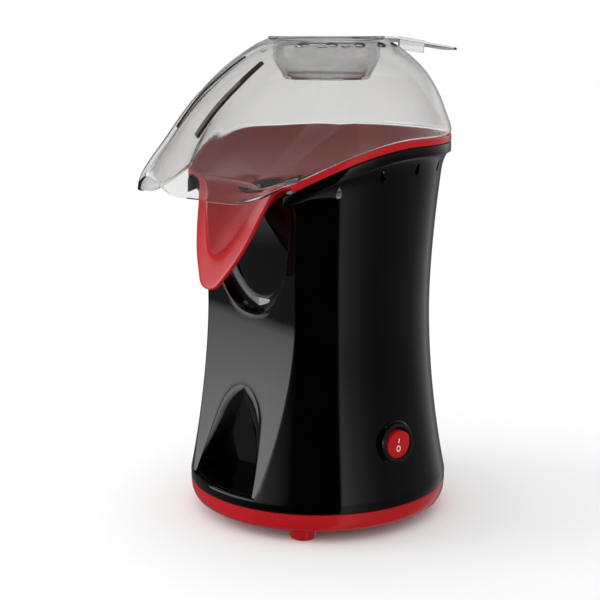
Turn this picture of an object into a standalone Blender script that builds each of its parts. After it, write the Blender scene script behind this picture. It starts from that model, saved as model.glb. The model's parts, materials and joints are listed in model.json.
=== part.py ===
"""Hot-air popcorn maker, modelled as separate sub-parts.

Metres, +Z up, the front faces -Y and the switch is on the +X side. The origin is on the floor, at
the centre of the appliance's bounding box. Every sub-part hangs from the empty "appliance_axis",
which stands on the turning axis of the round body, so sizes below are measured from that axis.
"""

import math

import bmesh
import bpy
import numpy as np
from mathutils import Matrix, Vector

# ---------------------------------------------------------------- driving dimensions
GAP = 0.0003              # between two solids that touch
WALL = 0.0024             # moulded body wall
NOSE_REACH = 0.1245       # hood nose, ahead of the body axis
HANDLE_REACH = 0.1120     # cup handle's end, behind the body axis
AXIS_Y = (NOSE_REACH - HANDLE_REACH) / 2

# body of revolution
BAND_R = 0.0825           # round band above the base, and the base ring
BELL_R = 0.0834           # where the lower flare would reach at the band
WAIST_R = 0.0706
SHOULDER_R = 0.0795       # where the upper flare reaches at RIM_TOP
WAIST_Z = 0.135
BAND_Z = 0.019            # bottom of the black body
LOWER_POWER = 1.9
UPPER_POWER = 1.7

# slanting rim: level at the back, falling away to the front
RIM_R = 0.0822
RIM_TOP = 0.2392
RIM_BREAK_Y = 0.015       # where the rim starts to fall
RIM_DROP = 0.0221         # fall over RIM_RUN
RIM_RUN = 0.0733
RIM_POWER = 2.2
STRIP_H = 0.0045          # red strip
FLANGE_H = 0.0059         # black flange under the strip
FLARE_H = 0.012           # cove between the body wall and the flange

# front panel
PANEL_WAIST_Y = 0.0529
PANEL_TOE_Y = 0.0745
PANEL_HEAD_Y = 0.0549
PANEL_BOTTOM_Z = 0.025
PANEL_TOP_Z = 0.2064
PANEL_T = 0.0022
PANEL_POWER = 1.75
PANEL_LIP = 0.0005        # how far the shell's edge stands outside the panel
SCOOP_HALF_W = 0.042
SCOOP_BOTTOM_Z = 0.1315
SCOOP_FULL_Z = 0.200      # above this the scoop keeps its full width
SCOOP_DEPTH = 0.0085
NICHE_TOP_Z = 0.086
NICHE_HALF_W = 0.0310
NICHE_DEPTH = 0.0125

# base
FLOOR_BOTTOM_Z = 0.007
FLOOR_T = 0.0026
SPIGOT_TOP_Z = 0.0222
SPIGOT_PLAY = 0.0012      # between the tray's spigot and the shell, wider than a facet's sag
FOOT_R = 0.008
FOOT_RING_R = 0.069
FOOT_ANGLES = (45.0, 135.0, 225.0, 315.0)
SCREW_RING_R = 0.0725
SCREW_ANGLES = (70.0, 160.0, 200.0, 290.0)
SCREW_SHANK_R = 0.0015
INTAKE_SLOTS = 14

# side switch
SWITCH_Z = 0.057
SWITCH_PAD_R = 0.0138
BEZEL_R = 0.0120
SWITCH_NECK_R = 0.0108
ROCKER_R = 0.0086
ROCKER_TILT = math.radians(12.0)    # resting tilt, half the rocker's travel
ROCKER_FACE = math.radians(6.0)     # each half of its face rises this much to the outside

# cord inlet, at the back
INLET_Z = 0.034
INLET_R = 0.0052

# vents under the flange
VENT_STEP = 19.8          # degrees
VENT_COUNT = 13
VENT_BELOW_FLANGE = 0.007

# popping chamber, duct and deck
CHAMBER_R = 0.0400
CHAMBER_T = 0.0012
CHAMBER_BOTTOM_Z = 0.118
CHAMBER_TOP_Z = 0.2032
CHAMBER_FLANGE_R = 0.0455
LOUVRES = 12
DUCT_R = 0.0460
DUCT_T = 0.0010
DUCT_TOP_Z = 0.140
DECK_R = 0.0712
DECK_T = 0.0034
DECK_FRONT_Y = -0.0412

# fan and motor
FAN_HOUSING_TOP_Z = 0.038
FAN_R = 0.040
FAN_BLADES = 8
FAN_TOP_Z = 0.030
BRACKET_T = 0.003
MOTOR_R = 0.0145
MOTOR_TOP_Z = 0.080
SHAFT_R = 0.0015
SHAFT_BOTTOM_Z = 0.0145
SHAFT_TOP_Z = 0.0885
HEATER_BOTTOM_Z = 0.0890
HEATER_TOP_Z = 0.114
HEATER_TURNS = 3

# chute
CHUTE_T = 0.0022
COLLAR_R = 0.0405
COLLAR_Z = 0.2078
TONGUE_TIP_Z = 0.1495
TONGUE_LEAN = 0.3458      # how far the tongue leans back for each metre up
TONGUE_TIP_Y = 0.0844
CORNER_ANGLE = math.radians(39.5)   # where the rim strip ends, either side of the front

# hood
HOOD_T = 0.0018
HOOD_LIFT = 0.0006        # keeps the hood's edge off the rim between facets
HOOD_TOP_Z = 0.2959
HOOD_HOLE_R = 0.0340
HOOD_RING_R = 0.0370
TOP_OFFSET_Y = 0.006      # the top ring and cup stand this far behind the body axis
RIDGE_HALF_W = 0.0185
RIDGE_H = 0.006
SLOT_X = 0.014
SLOT_W = 0.0019
VENT_RING_R = 0.0430
VENT_RING_STEP = 22.5     # degrees

# measuring cup
CUP_R = 0.0333
CUP_T = 0.0015
CUP_SHOULDER_Z = 0.284
CUP_FLOOR_R = 0.0262
CUP_BOTTOM_Z = 0.2715
CUP_FLANGE_R = 0.0360
HANDLE_HALF_W = 0.011

COLUMNS = 40              # facets round the large lofted pieces


# ---------------------------------------------------------------- shape rules
def body_radius(z):
    """Outer radius of the body of revolution at height z."""
    if z <= WAIST_Z:
        share = (WAIST_Z - z) / (WAIST_Z - BAND_Z)
        return min(BAND_R, WAIST_R + (BELL_R - WAIST_R) * share ** LOWER_POWER)
    share = (z - WAIST_Z) / (RIM_TOP - WAIST_Z)
    return WAIST_R + (SHOULDER_R - WAIST_R) * share ** UPPER_POWER


def body_slope(z):
    """Angle by which the wall's outward normal tips up at height z."""
    step = 0.001
    return math.atan2(body_radius(z - step) - body_radius(z + step), 2 * step)


def rim_height(y):
    """Top of the red strip for a point at depth y."""
    fall = max(0.0, RIM_BREAK_Y - y) / RIM_RUN
    return RIM_TOP - RIM_DROP * fall ** RIM_POWER


def panel_y(z):
    """Depth of the flat front panel's face at height z (negative is forward)."""
    if z <= WAIST_Z:
        share = (WAIST_Z - z) / (WAIST_Z - PANEL_BOTTOM_Z)
        return -(PANEL_WAIST_Y + (PANEL_TOE_Y - PANEL_WAIST_Y) * share ** PANEL_POWER)
    share = (z - WAIST_Z) / (PANEL_TOP_Z - WAIST_Z)
    return -(PANEL_WAIST_Y + (PANEL_HEAD_Y - PANEL_WAIST_Y) * share)


def panel_half_width(z):
    """Half width of the body's cut face at height z."""
    return math.sqrt(body_radius(z) ** 2 - panel_y(z) ** 2)


def tongue_y(z):
    """Depth of the tongue's leaning front plane at height z."""
    return -TONGUE_TIP_Y + (z - TONGUE_TIP_Z) * TONGUE_LEAN


def around(radius, angle, z=0.0):
    """Point at an angle from the front (-Y), turning towards +X."""
    return Vector((radius * math.sin(angle), -radius * math.cos(angle), z))


def smooth(knots, x):
    """Read a smooth curve through (x, value) knots with flat-limited slopes."""
    xs = np.array([k[0] for k in knots], dtype=float)
    ys = np.array([k[1] for k in knots], dtype=float)
    slopes = np.gradient(ys, xs)
    i = int(np.clip(np.searchsorted(xs, x) - 1, 0, len(xs) - 2))
    width = xs[i + 1] - xs[i]
    s = min(max((x - xs[i]) / width, 0.0), 1.0)
    return float(ys[i] * (1 + 2 * s) * (1 - s) ** 2 + ys[i + 1] * s * s * (3 - 2 * s)
                 + width * (slopes[i] * s * (1 - s) ** 2 + slopes[i + 1] * s * s * (s - 1)))


def bell(angle, half_angle):
    """1 at the front, falling smoothly to 0 at half_angle and beyond."""
    return 0.5 + 0.5 * math.cos(math.pi * min(abs(angle) / half_angle, 1.0))


# ---------------------------------------------------------------- scene helpers
def clear_scene():
    for obj in list(bpy.data.objects):
        bpy.data.objects.remove(obj, do_unlink=True)


def new_collection(name):
    collection = bpy.data.collections.new(name)
    bpy.context.scene.collection.children.link(collection)
    return collection


def material(name, colour, roughness, metallic=0.0, alpha=1.0):
    made = bpy.data.materials.new(name)
    made.use_nodes = True
    shader = made.node_tree.nodes["Principled BSDF"]
    shader.inputs["Base Color"].default_value = (*colour, 1.0)
    shader.inputs["Roughness"].default_value = roughness
    shader.inputs["Metallic"].default_value = metallic
    shader.inputs["Alpha"].default_value = alpha
    made.diffuse_color = (*colour, alpha)
    return made


def new_empty(name, location, parent=None, rotation=(0, 0, 0)):
    empty = bpy.data.objects.new(name, None)
    empty.location = location
    empty.rotation_euler = rotation
    empty.parent = parent
    PARTS.objects.link(empty)
    return empty


def new_part(name, data, finish, parent=None):
    """A named sub-part under its parent, by default the appliance axis."""
    obj = bpy.data.objects.new(name, data)
    obj.data.materials.append(finish)
    obj.parent = parent or APPLIANCE
    PARTS.objects.link(obj)
    return obj


def shade(mesh):
    mesh.shade_smooth()
    mesh.set_sharp_from_angle(angle=math.radians(35))


def mesh_from(name, build):
    """A mesh filled by build(bm), with its normals made consistent."""
    bm = bmesh.new()
    build(bm)
    bmesh.ops.recalc_face_normals(bm, faces=bm.faces)
    mesh = bpy.data.meshes.new(name)
    bm.to_mesh(mesh)
    bm.free()
    shade(mesh)
    return mesh


def loft_mesh(name, sections, ring=False, capped=False):
    """Skin closed sections of equal length; ring joins the last section to the first."""
    def build(bm):
        rows = [[bm.verts.new(p) for p in section] for section in sections]
        pairs = list(zip(rows, rows[1:])) + ([(rows[-1], rows[0])] if ring else [])
        for a, b in pairs:
            for i in range(len(a)):
                j = (i + 1) % len(a)
                bm.faces.new((a[i], a[j], b[j], b[i]))
        if capped:
            bm.faces.new(rows[0])
            bm.faces.new(rows[-1])
    return mesh_from(name, build)


def sheet_mesh(name, sections):
    """An open skin, closed round the axis, for a Solidify modifier."""
    def build(bm):
        rows = [[bm.verts.new(p) for p in section] for section in sections]
        for a, b in zip(rows, rows[1:] + rows[:1]):
            for i in range(len(a) - 1):
                bm.faces.new((a[i], a[i + 1], b[i + 1], b[i]))
    return mesh_from(name, build)


def turned(name, profile, finish, parent=None, closed=True, steps=36):
    """A turned piece: the profile, in (radius, z), runs down its outer side."""
    bm = bmesh.new()
    verts = [bm.verts.new((r, 0, z)) for r, z in profile]
    edges = list(zip(verts, verts[1:]))
    if closed:
        edges.append((verts[-1], verts[0]))
    for edge in edges:
        bm.edges.new(edge)
    mesh = bpy.data.meshes.new(name)
    bm.to_mesh(mesh)
    bm.free()
    obj = new_part(name, mesh, finish, parent)
    screw = obj.modifiers.new("Turn", "SCREW")
    screw.steps = steps
    screw.render_steps = steps
    screw.use_merge_vertices = True
    screw.merge_threshold = 0.00001
    screw.use_smooth_shade = True
    return obj


def box_mesh(name, size, matrices=(Matrix(),)):
    def build(bm):
        for matrix in matrices:
            bmesh.ops.create_cube(bm, size=1.0, matrix=matrix @ Matrix.Diagonal((*size, 1.0)))
    return mesh_from(name, build)


def rod_mesh(name, radius, depth, matrices=(Matrix(),), segments=20):
    def build(bm):
        for matrix in matrices:
            bmesh.ops.create_cone(bm, cap_ends=True, segments=segments, radius1=radius,
                                  radius2=radius, depth=depth, matrix=matrix)
    return mesh_from(name, build)


def tool(name, mesh, parent=None):
    """A helper solid for a Boolean: wire display, and not rendered."""
    obj = bpy.data.objects.new(name, mesh)
    obj.display_type = "WIRE"
    obj.hide_render = True
    obj.parent = parent or APPLIANCE
    TOOLS.objects.link(obj)
    return obj


def boolean(obj, other, operation):
    modifier = obj.modifiers.new(operation.title(), "BOOLEAN")
    modifier.operation = operation
    modifier.object = other
    modifier.solver = "EXACT"


def cut(obj, name, mesh, parent=None):
    boolean(obj, tool(name, mesh, parent), "DIFFERENCE")


def unite(obj, name, mesh, parent=None):
    boolean(obj, tool(name, mesh, parent), "UNION")


def solidify(obj, thickness):
    modifier = obj.modifiers.new("Wall", "SOLIDIFY")
    modifier.thickness = thickness
    modifier.offset = -1.0
    modifier.use_even_offset = True


def spin(angle):
    """Turn a shape drawn at the front (-Y) to an angle from the front, towards +X."""
    return Matrix.Rotation(angle, 4, "Z")


def lead(name, radius, finish, route):
    """A round wire through hand-chosen points."""
    curve = bpy.data.curves.new(name, "CURVE")
    curve.dimensions = "3D"
    curve.bevel_depth = radius
    curve.bevel_resolution = 1
    curve.use_fill_caps = True
    spline = curve.splines.new("POLY")
    points = round_off(route)
    spline.points.add(len(points) - 1)
    for point, place in zip(spline.points, points):
        point.co = (*place, 1.0)
    return new_part(name, curve, finish)


def round_off(route, steps=3):
    """Catmull-Rom curve through the route's points."""
    ends = [route[0], *route, route[-1]]
    points = []
    for a, b, c, d in zip(ends, ends[1:], ends[2:], ends[3:]):
        a, b, c, d = (Vector(p) for p in (a, b, c, d))
        for k in range(steps):
            s = k / steps
            points.append(0.5 * (2 * b + (c - a) * s + (2 * a - 5 * b + 4 * c - d) * s ** 2
                                 + (3 * b - a - 3 * c + d) * s ** 3))
    points.append(Vector(route[-1]))
    return points


# ---------------------------------------------------------------- base
def make_base_tray():
    floor_top = FLOOR_BOTTOM_Z + FLOOR_T
    spigot_r = BAND_R - WALL - SPIGOT_PLAY
    profile = [
        (0, floor_top), (spigot_r - WALL, floor_top),
        (spigot_r - WALL, SPIGOT_TOP_Z), (spigot_r, SPIGOT_TOP_Z), (spigot_r, BAND_Z - GAP),
        (BAND_R, BAND_Z - GAP), (BAND_R - 0.0003, 0.0140), (BAND_R - 0.0013, 0.0095),
        (BAND_R - 0.0029, 0.0075), (BAND_R - 0.0050, FLOOR_BOTTOM_Z), (0, FLOOR_BOTTOM_Z),
    ]
    tray = turned("base_tray", profile, RED, closed=False, steps=COLUMNS)
    depth = FLOOR_T * 3
    slots = [spin(2 * math.pi * k / INTAKE_SLOTS) @ Matrix.Translation((0, -0.025, floor_top))
             for k in range(INTAKE_SLOTS)]
    cut(tray, "intake_slots", box_mesh("intake_slots", (0.0034, 0.026, depth), slots))
    holes = [Matrix.Translation(around(FOOT_RING_R, math.radians(a), floor_top)) for a in FOOT_ANGLES]
    cut(tray, "foot_holes", rod_mesh("foot_holes", FOOT_R / 2 + GAP, depth, holes, segments=16))
    holes = [Matrix.Translation(around(SCREW_RING_R, math.radians(a), floor_top)) for a in SCREW_ANGLES]
    cut(tray, "base_screw_holes",
        rod_mesh("base_screw_holes", SCREW_SHANK_R + GAP, depth, holes, segments=12))


def make_feet():
    top = FLOOR_BOTTOM_Z - GAP
    profile = [(0, top + FLOOR_T + 0.001), (FOOT_R / 2, top + FLOOR_T + 0.001), (FOOT_R / 2, top),
               (FOOT_R, top), (FOOT_R, 0.0009), (FOOT_R - 0.0009, 0), (0, 0)]
    for number, angle in enumerate(FOOT_ANGLES, 1):
        foot = turned(f"foot_{number}", profile, RED, closed=False, steps=14)
        foot.location = around(FOOT_RING_R, math.radians(angle))


def make_base_screws():
    head_top = FLOOR_BOTTOM_Z - GAP
    tip = 0.0225
    profile = [(0, tip), (SCREW_SHANK_R, tip - 0.0012), (SCREW_SHANK_R, head_top),
               (0.0029, head_top), (0.0029, head_top - 0.0012), (0.0020, head_top - 0.0019),
               (0, head_top - 0.0019)]
    for number, angle in enumerate(SCREW_ANGLES, 1):
        screw = turned(f"base_screw_{number}", profile, STEEL, closed=False, steps=10)
        screw.location = around(SCREW_RING_R, math.radians(angle))


# ---------------------------------------------------------------- housing
def flange_bottom(y):
    return rim_height(y) - STRIP_H - GAP - FLANGE_H


def housing_section(angle):
    """Closed wall section of the body at one angle, outer side up and inner side down."""
    rim = around(RIM_R, angle)
    bottom = flange_bottom(rim.y)
    top = bottom + FLANGE_H
    heights = [BAND_Z, 0.026, 0.038, 0.055, 0.078, 0.105, 0.140, 0.178]
    outer = [(body_radius(z), z) for z in heights]
    neck = bottom - FLARE_H
    outer.append((body_radius(neck), neck))
    outer.append((body_radius(bottom - 0.005) + 0.0010, bottom - 0.005))
    outer.append((body_radius(bottom) + 0.0020, bottom - 0.001))
    outer.append((RIM_R - 0.0004, bottom))
    outer.append((RIM_R, bottom + 0.0005))
    outer.append((RIM_R, top))
    inner = [(RIM_R - WALL, top), (RIM_R - WALL, bottom + 0.0035), (body_radius(bottom) - WALL, bottom)]
    inner += [(body_radius(z) - WALL, z) for z in (0.178, 0.140, 0.095, 0.060, 0.036, 0.027)]
    inner.append((body_radius(BAND_Z) - WALL, BAND_Z))
    return [around(r, angle, z) for r, z in outer + inner]


def slab_section(z, side, near, far):
    """Rectangle across the body at height z: side half width, near and far depths."""
    return [Vector((-side, near, z)), Vector((side, near, z)), Vector((side, far, z)),
            Vector((-side, far, z))]


def panel_heights(bottom, top, count=15):
    return [bottom + (top - bottom) * k / (count - 1) for k in range(count)]


def make_housing_shell():
    sections = [housing_section(2 * math.pi * (k + 0.5) / COLUMNS) for k in range(COLUMNS)]
    shell = new_part("housing_shell", loft_mesh("housing_shell", sections, ring=True), BLACK)
    boss_tools(shell)
    seat = PANEL_T + 2 * GAP
    opening = [slab_section(z, panel_half_width(min(z, PANEL_TOP_Z)) - PANEL_LIP, -0.12,
                            panel_y(min(z, PANEL_TOP_Z)) + seat)
               for z in panel_heights(PANEL_BOTTOM_Z, PANEL_TOP_Z) + [RIM_TOP + 0.01]]
    cut(shell, "panel_opening", loft_mesh("panel_opening", opening, capped=True))
    cut(shell, "body_vents", vent_mesh())
    cut(shell, "switch_hole", rod_mesh("switch_hole", SWITCH_NECK_R + GAP, 0.04, segments=24),
        SWITCH_FRAME)
    cut(shell, "inlet_hole", rod_mesh("inlet_hole", INLET_R + GAP, 0.02, segments=20), INLET_FRAME)


def deck_radius():
    """Radius of the deck that carries the chamber, kept clear of the wall when the body changes."""
    deck_bottom = CHAMBER_TOP_Z - CHAMBER_T - GAP - DECK_T
    return min(DECK_R, body_radius(deck_bottom) - WALL - 2 * GAP)


def boss_tools(shell):
    """Screw bosses, deck lugs and the flat pad of the switch, joined to the shell's wall."""
    wall_r = body_radius(0.030) - WALL / 2 + 0.0004
    low = FLOOR_BOTTOM_Z + FLOOR_T + GAP
    spigot_inner = BAND_R - 2 * WALL - SPIGOT_PLAY
    pillar_r = (0.0684, spigot_inner - SPIGOT_PLAY)
    for number, angle in enumerate(SCREW_ANGLES, 1):
        turn = spin(math.radians(angle))
        unite(shell, f"boss_bridge_{number}",
              radial_box(pillar_r[0], wall_r, 0.008, SPIGOT_TOP_Z + GAP, 0.030, turn))
        unite(shell, f"boss_pillar_{number}",
              radial_box(pillar_r[0] + 0.0004, pillar_r[1], 0.0072, low, SPIGOT_TOP_Z + 0.003, turn))
    deck_bottom = CHAMBER_TOP_Z - CHAMBER_T - GAP - DECK_T
    for number, angle in enumerate((75.0, 180.0, 285.0), 1):
        lug_out = body_radius(deck_bottom) - WALL / 2
        unite(shell, f"deck_lug_{number}",
              radial_box(deck_radius() - 0.006, lug_out, 0.012, deck_bottom - 0.006, deck_bottom - GAP,
                         spin(math.radians(angle))))
    pad = rod_mesh("switch_pad", SWITCH_PAD_R, 0.004, [Matrix.Translation((0, 0, -0.0009))],
                   segments=28)
    unite(shell, "switch_pad", pad, SWITCH_FRAME)
    pilots = [Matrix.Translation(around(SCREW_RING_R, math.radians(a), low + 0.005))
              for a in SCREW_ANGLES]
    cut(shell, "boss_pilots",
        rod_mesh("boss_pilots", SCREW_SHANK_R + GAP, 0.018, pilots, segments=12))


def radial_box(inner, outer, width, bottom, top, turn):
    place = turn @ Matrix.Translation((0, -(inner + outer) / 2, (bottom + top) / 2))
    return box_mesh("radial_box", (width, outer - inner, top - bottom), [place])


def vent_mesh():
    """Drop-shaped holes in a row below the flange."""
    places = []
    for k in range(VENT_COUNT):
        angle = math.pi + math.radians(VENT_STEP) * (k - (VENT_COUNT - 1) / 2)
        on_wall = around(WAIST_R, angle)
        height = flange_bottom(around(RIM_R, angle).y) - VENT_BELOW_FLANGE
        flat = Matrix.Rotation(math.radians(90), 4, "X")
        places.append(Matrix.Translation((on_wall.x, on_wall.y, height)) @ spin(angle) @ flat
                      @ Matrix.Diagonal((1.0, 2.2, 1.0, 1.0)))
    return rod_mesh("body_vents", 0.0015, 0.03, places, segments=8)


# ---------------------------------------------------------------- front panel
def scoop_share(z):
    return min(max((SCOOP_FULL_Z - z) / (SCOOP_FULL_Z - SCOOP_BOTTOM_Z), 0.0), 1.0)


def scoop_section(z, grow=0.0):
    """Half ellipse across the scoop at height z, grown by a wall."""
    share = scoop_share(z)
    half = max(SCOOP_HALF_W * (1 - share ** 2.2) ** (1 / 2.2), 0.002) + grow
    depth = max(SCOOP_DEPTH * math.sqrt(1 - share ** 2), 0.0004) + grow
    face = panel_y(min(z, PANEL_TOP_Z))
    near = face + PANEL_T / 2 if grow else face - 0.002
    arc = [Vector((half * math.cos(a), face + depth * math.sin(a), z))
           for a in np.linspace(0.02, math.pi - 0.02, 11)]
    return [Vector((half, near, z)), *arc, Vector((-half, near, z))]


def niche_section(z, grow=0.0):
    """Arched niche across the panel at height z: two slanting walls and a flat back."""
    share = min(max((NICHE_TOP_Z - z) / (NICHE_TOP_Z - PANEL_BOTTOM_Z), 0.0), 1.0)
    half = max(NICHE_HALF_W * (0.45 * share + 0.55 * math.sqrt(1 - (1 - share) ** 2)), 0.001) + grow
    back = max(0.40 * half * share, 0.0004)
    depth = max(NICHE_DEPTH * math.sqrt(1 - (1 - share) ** 2), 0.0004) + grow
    face = panel_y(z)
    near = face + PANEL_T / 2 if grow else face - 0.002
    return [Vector((half, near, z)), Vector((half * 0.86 + 0.14 * back, face + depth * 0.45, z)),
            Vector((back, face + depth, z)), Vector((-back, face + depth, z)),
            Vector((-half * 0.86 - 0.14 * back, face + depth * 0.45, z)), Vector((-half, near, z))]


def eased(bottom, top, count):
    """Heights from bottom to top, closer together near the bottom."""
    return [bottom + (top - bottom) * (k / (count - 1)) ** 1.6 for k in range(count)]


def make_front_panel():
    bottom = PANEL_BOTTOM_Z + GAP
    plate = [slab_section(z, panel_half_width(z) - PANEL_LIP - GAP, panel_y(z), panel_y(z) + PANEL_T)
             for z in panel_heights(bottom, PANEL_TOP_Z)]
    panel = new_part("front_panel", loft_mesh("front_panel", plate, capped=True), BLACK)
    inset = 0.0006                      # the walls behind stop short of the plate's ends
    back = [scoop_section(z, PANEL_T)
            for z in eased(SCOOP_BOTTOM_Z - PANEL_T, PANEL_TOP_Z - inset, 10)]
    unite(panel, "scoop_wall", loft_mesh("scoop_wall", back, capped=True))
    heights = eased(bottom + inset, NICHE_TOP_Z + PANEL_T, 9)
    wall = [niche_section(z, PANEL_T) for z in mirrored(heights)]
    unite(panel, "niche_wall", loft_mesh("niche_wall", wall, capped=True))
    unite(panel, "toe_shelf", loft_mesh("toe_shelf", toe_shelf(BAND_R, PANEL_BOTTOM_Z), capped=True))
    step = toe_shelf(PANEL_TOE_Y - GAP, bottom + PANEL_T + GAP)
    unite(panel, "toe_step", loft_mesh("toe_step", step, capped=True))
    scoop = [scoop_section(z) for z in eased(SCOOP_BOTTOM_Z, PANEL_TOP_Z + 0.004, 10)]
    cut(panel, "scoop", loft_mesh("scoop", scoop, capped=True))
    heights = eased(bottom + PANEL_T, NICHE_TOP_Z, 9)
    niche = [niche_section(z) for z in mirrored(heights)]
    cut(panel, "niche", loft_mesh("niche", niche, capped=True))
    cut(panel, "chute_clearance", chute_clearance())


def mirrored(heights):
    """The same range with the close spacing at the top."""
    return [heights[0] + heights[-1] - z for z in reversed(heights)]


def toe_shelf(front, top):
    """Segment of a disc inside the shell's band, reaching forward by front at most."""
    radius = body_radius(PANEL_BOTTOM_Z) - WALL - SPIGOT_PLAY
    reach = max(math.acos(min(front / radius, 1.0)), 0.01)
    limit = math.acos((PANEL_WAIST_Y + 0.004) / radius)
    arc = [around(radius, a) for a in np.linspace(limit, reach, 7)]
    arc += [Vector((-p.x, p.y, 0)) for p in reversed(arc)]
    return [[p + Vector((0, 0, z)) for p in arc] for z in (SPIGOT_TOP_Z + 2 * GAP, top)]


def chute_clearance():
    """The room above the pouring channel's underside, for the panel's head."""
    room = Vector((0, 0, (CHUTE_T + 2 * GAP) * 1.5))
    sections = []
    for share in np.linspace(-1, 1, 15):
        floor = front_chute_section(share)[:6]
        sections.append([p - room for p in floor]
                        + [Vector((p.x, p.y, RIM_TOP)) for p in reversed(floor)])
    return loft_mesh("chute_clearance", sections, capped=True)


# ---------------------------------------------------------------- switch and inlet
def make_switch():
    face = 0.0012                       # pad face, outward of the wall
    bezel = [(BEZEL_R, face + 0.0011), (BEZEL_R, face + GAP), (SWITCH_NECK_R, face + GAP),
             (SWITCH_NECK_R, -0.0052), (ROCKER_R + 0.0011, -0.0052), (ROCKER_R + 0.0011, face + 0.0018),
             (BEZEL_R - 0.0008, face + 0.0018)]
    turned("switch_bezel", bezel, BLACK, SWITCH_FRAME, steps=24)
    body = turned("switch_body", [(0, -0.0055), (0.0098, -0.0055), (0.0098, -0.018), (0, -0.018)],
                  BLACK, SWITCH_FRAME, closed=False, steps=20)
    cut(body, "rocker_well", rod_mesh("rocker_well", 0.0070, 0.006,
                                      [Matrix.Translation((0, 0, -0.0060))]), SWITCH_FRAME)
    for number, offset in enumerate((-0.0055, 0.0, 0.0055), 1):
        mesh = box_mesh("blade", (0.0008, 0.0046, 0.007))
        blade = new_part(f"switch_terminal_{number}", mesh, BRASS, SWITCH_FRAME)
        blade.location = (offset, 0, -0.018 - GAP - 0.0035)
    make_rocker()


def make_rocker():
    """Round rocker with two faces that meet in a shallow valley, resting in the off position."""
    mesh = rod_mesh("switch_rocker", ROCKER_R, 0.0080, [Matrix.Translation((0, 0, 0.0005))], 28)
    rocker = new_part("switch_rocker", mesh, RED, SWITCH_FRAME)
    rocker.rotation_euler = (0, ROCKER_TILT, 0)
    for name, sign in (("rocker_face_off", 1), ("rocker_face_on", -1)):
        tilt = Matrix.Rotation(-sign * ROCKER_FACE, 4, "Y")
        place = tilt @ Matrix.Translation((sign * 0.01, 0, 0.0028 + 0.005))
        cut(rocker, name, box_mesh(name, (0.0201, 0.03, 0.010), [place]), rocker)


def make_cord_inlet():
    face = 0.0005
    profile = [(INLET_R + 0.0022, face + 0.0020), (INLET_R + 0.0022, face), (INLET_R, face - 0.0004),
               (INLET_R, -0.0065), (0.0034, -0.0065), (0.0034, face + 0.0026),
               (INLET_R + 0.0012, face + 0.0026)]
    turned("cord_inlet", profile, RUBBER, INLET_FRAME, steps=16)


# ---------------------------------------------------------------- fan and motor
def make_fan_housing():
    low = FLOOR_BOTTOM_Z + FLOOR_T + GAP
    profile = [(0.0455, FAN_HOUSING_TOP_Z), (0.0455, low + 0.002), (0.050, low + 0.002), (0.050, low),
               (0.0432, low), (0.0432, FAN_HOUSING_TOP_Z)]
    turned("fan_housing", profile, NYLON, steps=32)


def make_bracket():
    low = FAN_HOUSING_TOP_Z + GAP
    top = low + BRACKET_T
    ring = [(0.0455, top), (0.0455, low), (0.0415, low), (0.0415, top)]
    bracket = turned("motor_bracket", ring, NYLON, steps=32)
    hub = turned_tool("bracket_hub", [(MOTOR_R, top), (MOTOR_R, low), (0.0042, low), (0.0042, top)])
    arms = [spin(2 * math.pi * k / 3) @ Matrix.Translation((0, -0.028, low + BRACKET_T / 2))
            for k in range(3)]
    for number, arm in enumerate(arms, 1):
        unite(bracket, f"bracket_arm_{number}",
              box_mesh("arm", (0.006, 0.0285, BRACKET_T - 0.0004), [arm]))
    boolean(bracket, hub, "UNION")


def turned_tool(name, profile, steps=20):
    """A turned helper solid."""
    obj = turned(name, profile, NYLON, steps=steps)
    PARTS.objects.unlink(obj)
    TOOLS.objects.link(obj)
    obj.display_type = "WIRE"
    obj.hide_render = True
    return obj


def make_motor():
    low = FAN_HOUSING_TOP_Z + GAP + BRACKET_T + GAP
    cap_top = low + 0.003
    bore = SHAFT_R + 2 * GAP
    turned("motor_end_cap", [(MOTOR_R, cap_top), (MOTOR_R, low), (0.0045, low), (0.0045, cap_top)],
           NYLON, steps=20)
    can = [(0.0045, MOTOR_TOP_Z), (MOTOR_R - 0.001, MOTOR_TOP_Z), (MOTOR_R, MOTOR_TOP_Z - 0.001),
           (MOTOR_R, cap_top + GAP), (MOTOR_R - 0.0012, cap_top + GAP),
           (MOTOR_R - 0.0012, MOTOR_TOP_Z - 0.0014), (0.0045, MOTOR_TOP_Z - 0.0014)]
    turned("motor_can", can, STEEL, steps=20)
    for name, z in (("lower_shaft_bush", low), ("upper_shaft_bush", MOTOR_TOP_Z - 0.0034)):
        turned(name, [(0.0042, z + 0.003), (0.0042, z), (bore, z), (bore, z + 0.003)], BRASS, steps=12)
    core = [(0.0095, 0.0700), (0.0095, 0.0500), (bore, 0.0500), (bore, 0.0700)]
    turned("rotor_core", core, STEEL, FAN_FRAME, steps=20)
    shaft = rod_mesh("motor_shaft", SHAFT_R, SHAFT_TOP_Z - SHAFT_BOTTOM_Z,
                     [Matrix.Translation((0, 0, (SHAFT_TOP_Z + SHAFT_BOTTOM_Z) / 2))], segments=14)
    new_part("motor_shaft", shaft, STEEL, FAN_FRAME)


def make_impeller():
    """Hub and back plate with straight blades below."""
    bottom = SHAFT_BOTTOM_Z + 0.0015
    bore = SHAFT_R + GAP
    profile = [(FAN_R, FAN_TOP_Z), (FAN_R, FAN_TOP_Z - 0.0014), (0.0072, FAN_TOP_Z - 0.0014),
               (0.0068, bottom), (bore, bottom), (bore, FAN_TOP_Z)]
    impeller = turned("impeller", profile, NYLON, FAN_FRAME, steps=28)
    height = FAN_TOP_Z - 0.0004 - bottom
    for k in range(FAN_BLADES):
        place = (spin(2 * math.pi * k / FAN_BLADES)
                 @ Matrix.Translation((0, -0.0225, bottom + height / 2)) @ Matrix.Rotation(0.35, 4, "Z"))
        unite(impeller, f"blade_{k + 1}", box_mesh("blade", (0.0011, 0.0340, height), [place]), FAN_FRAME)


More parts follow.
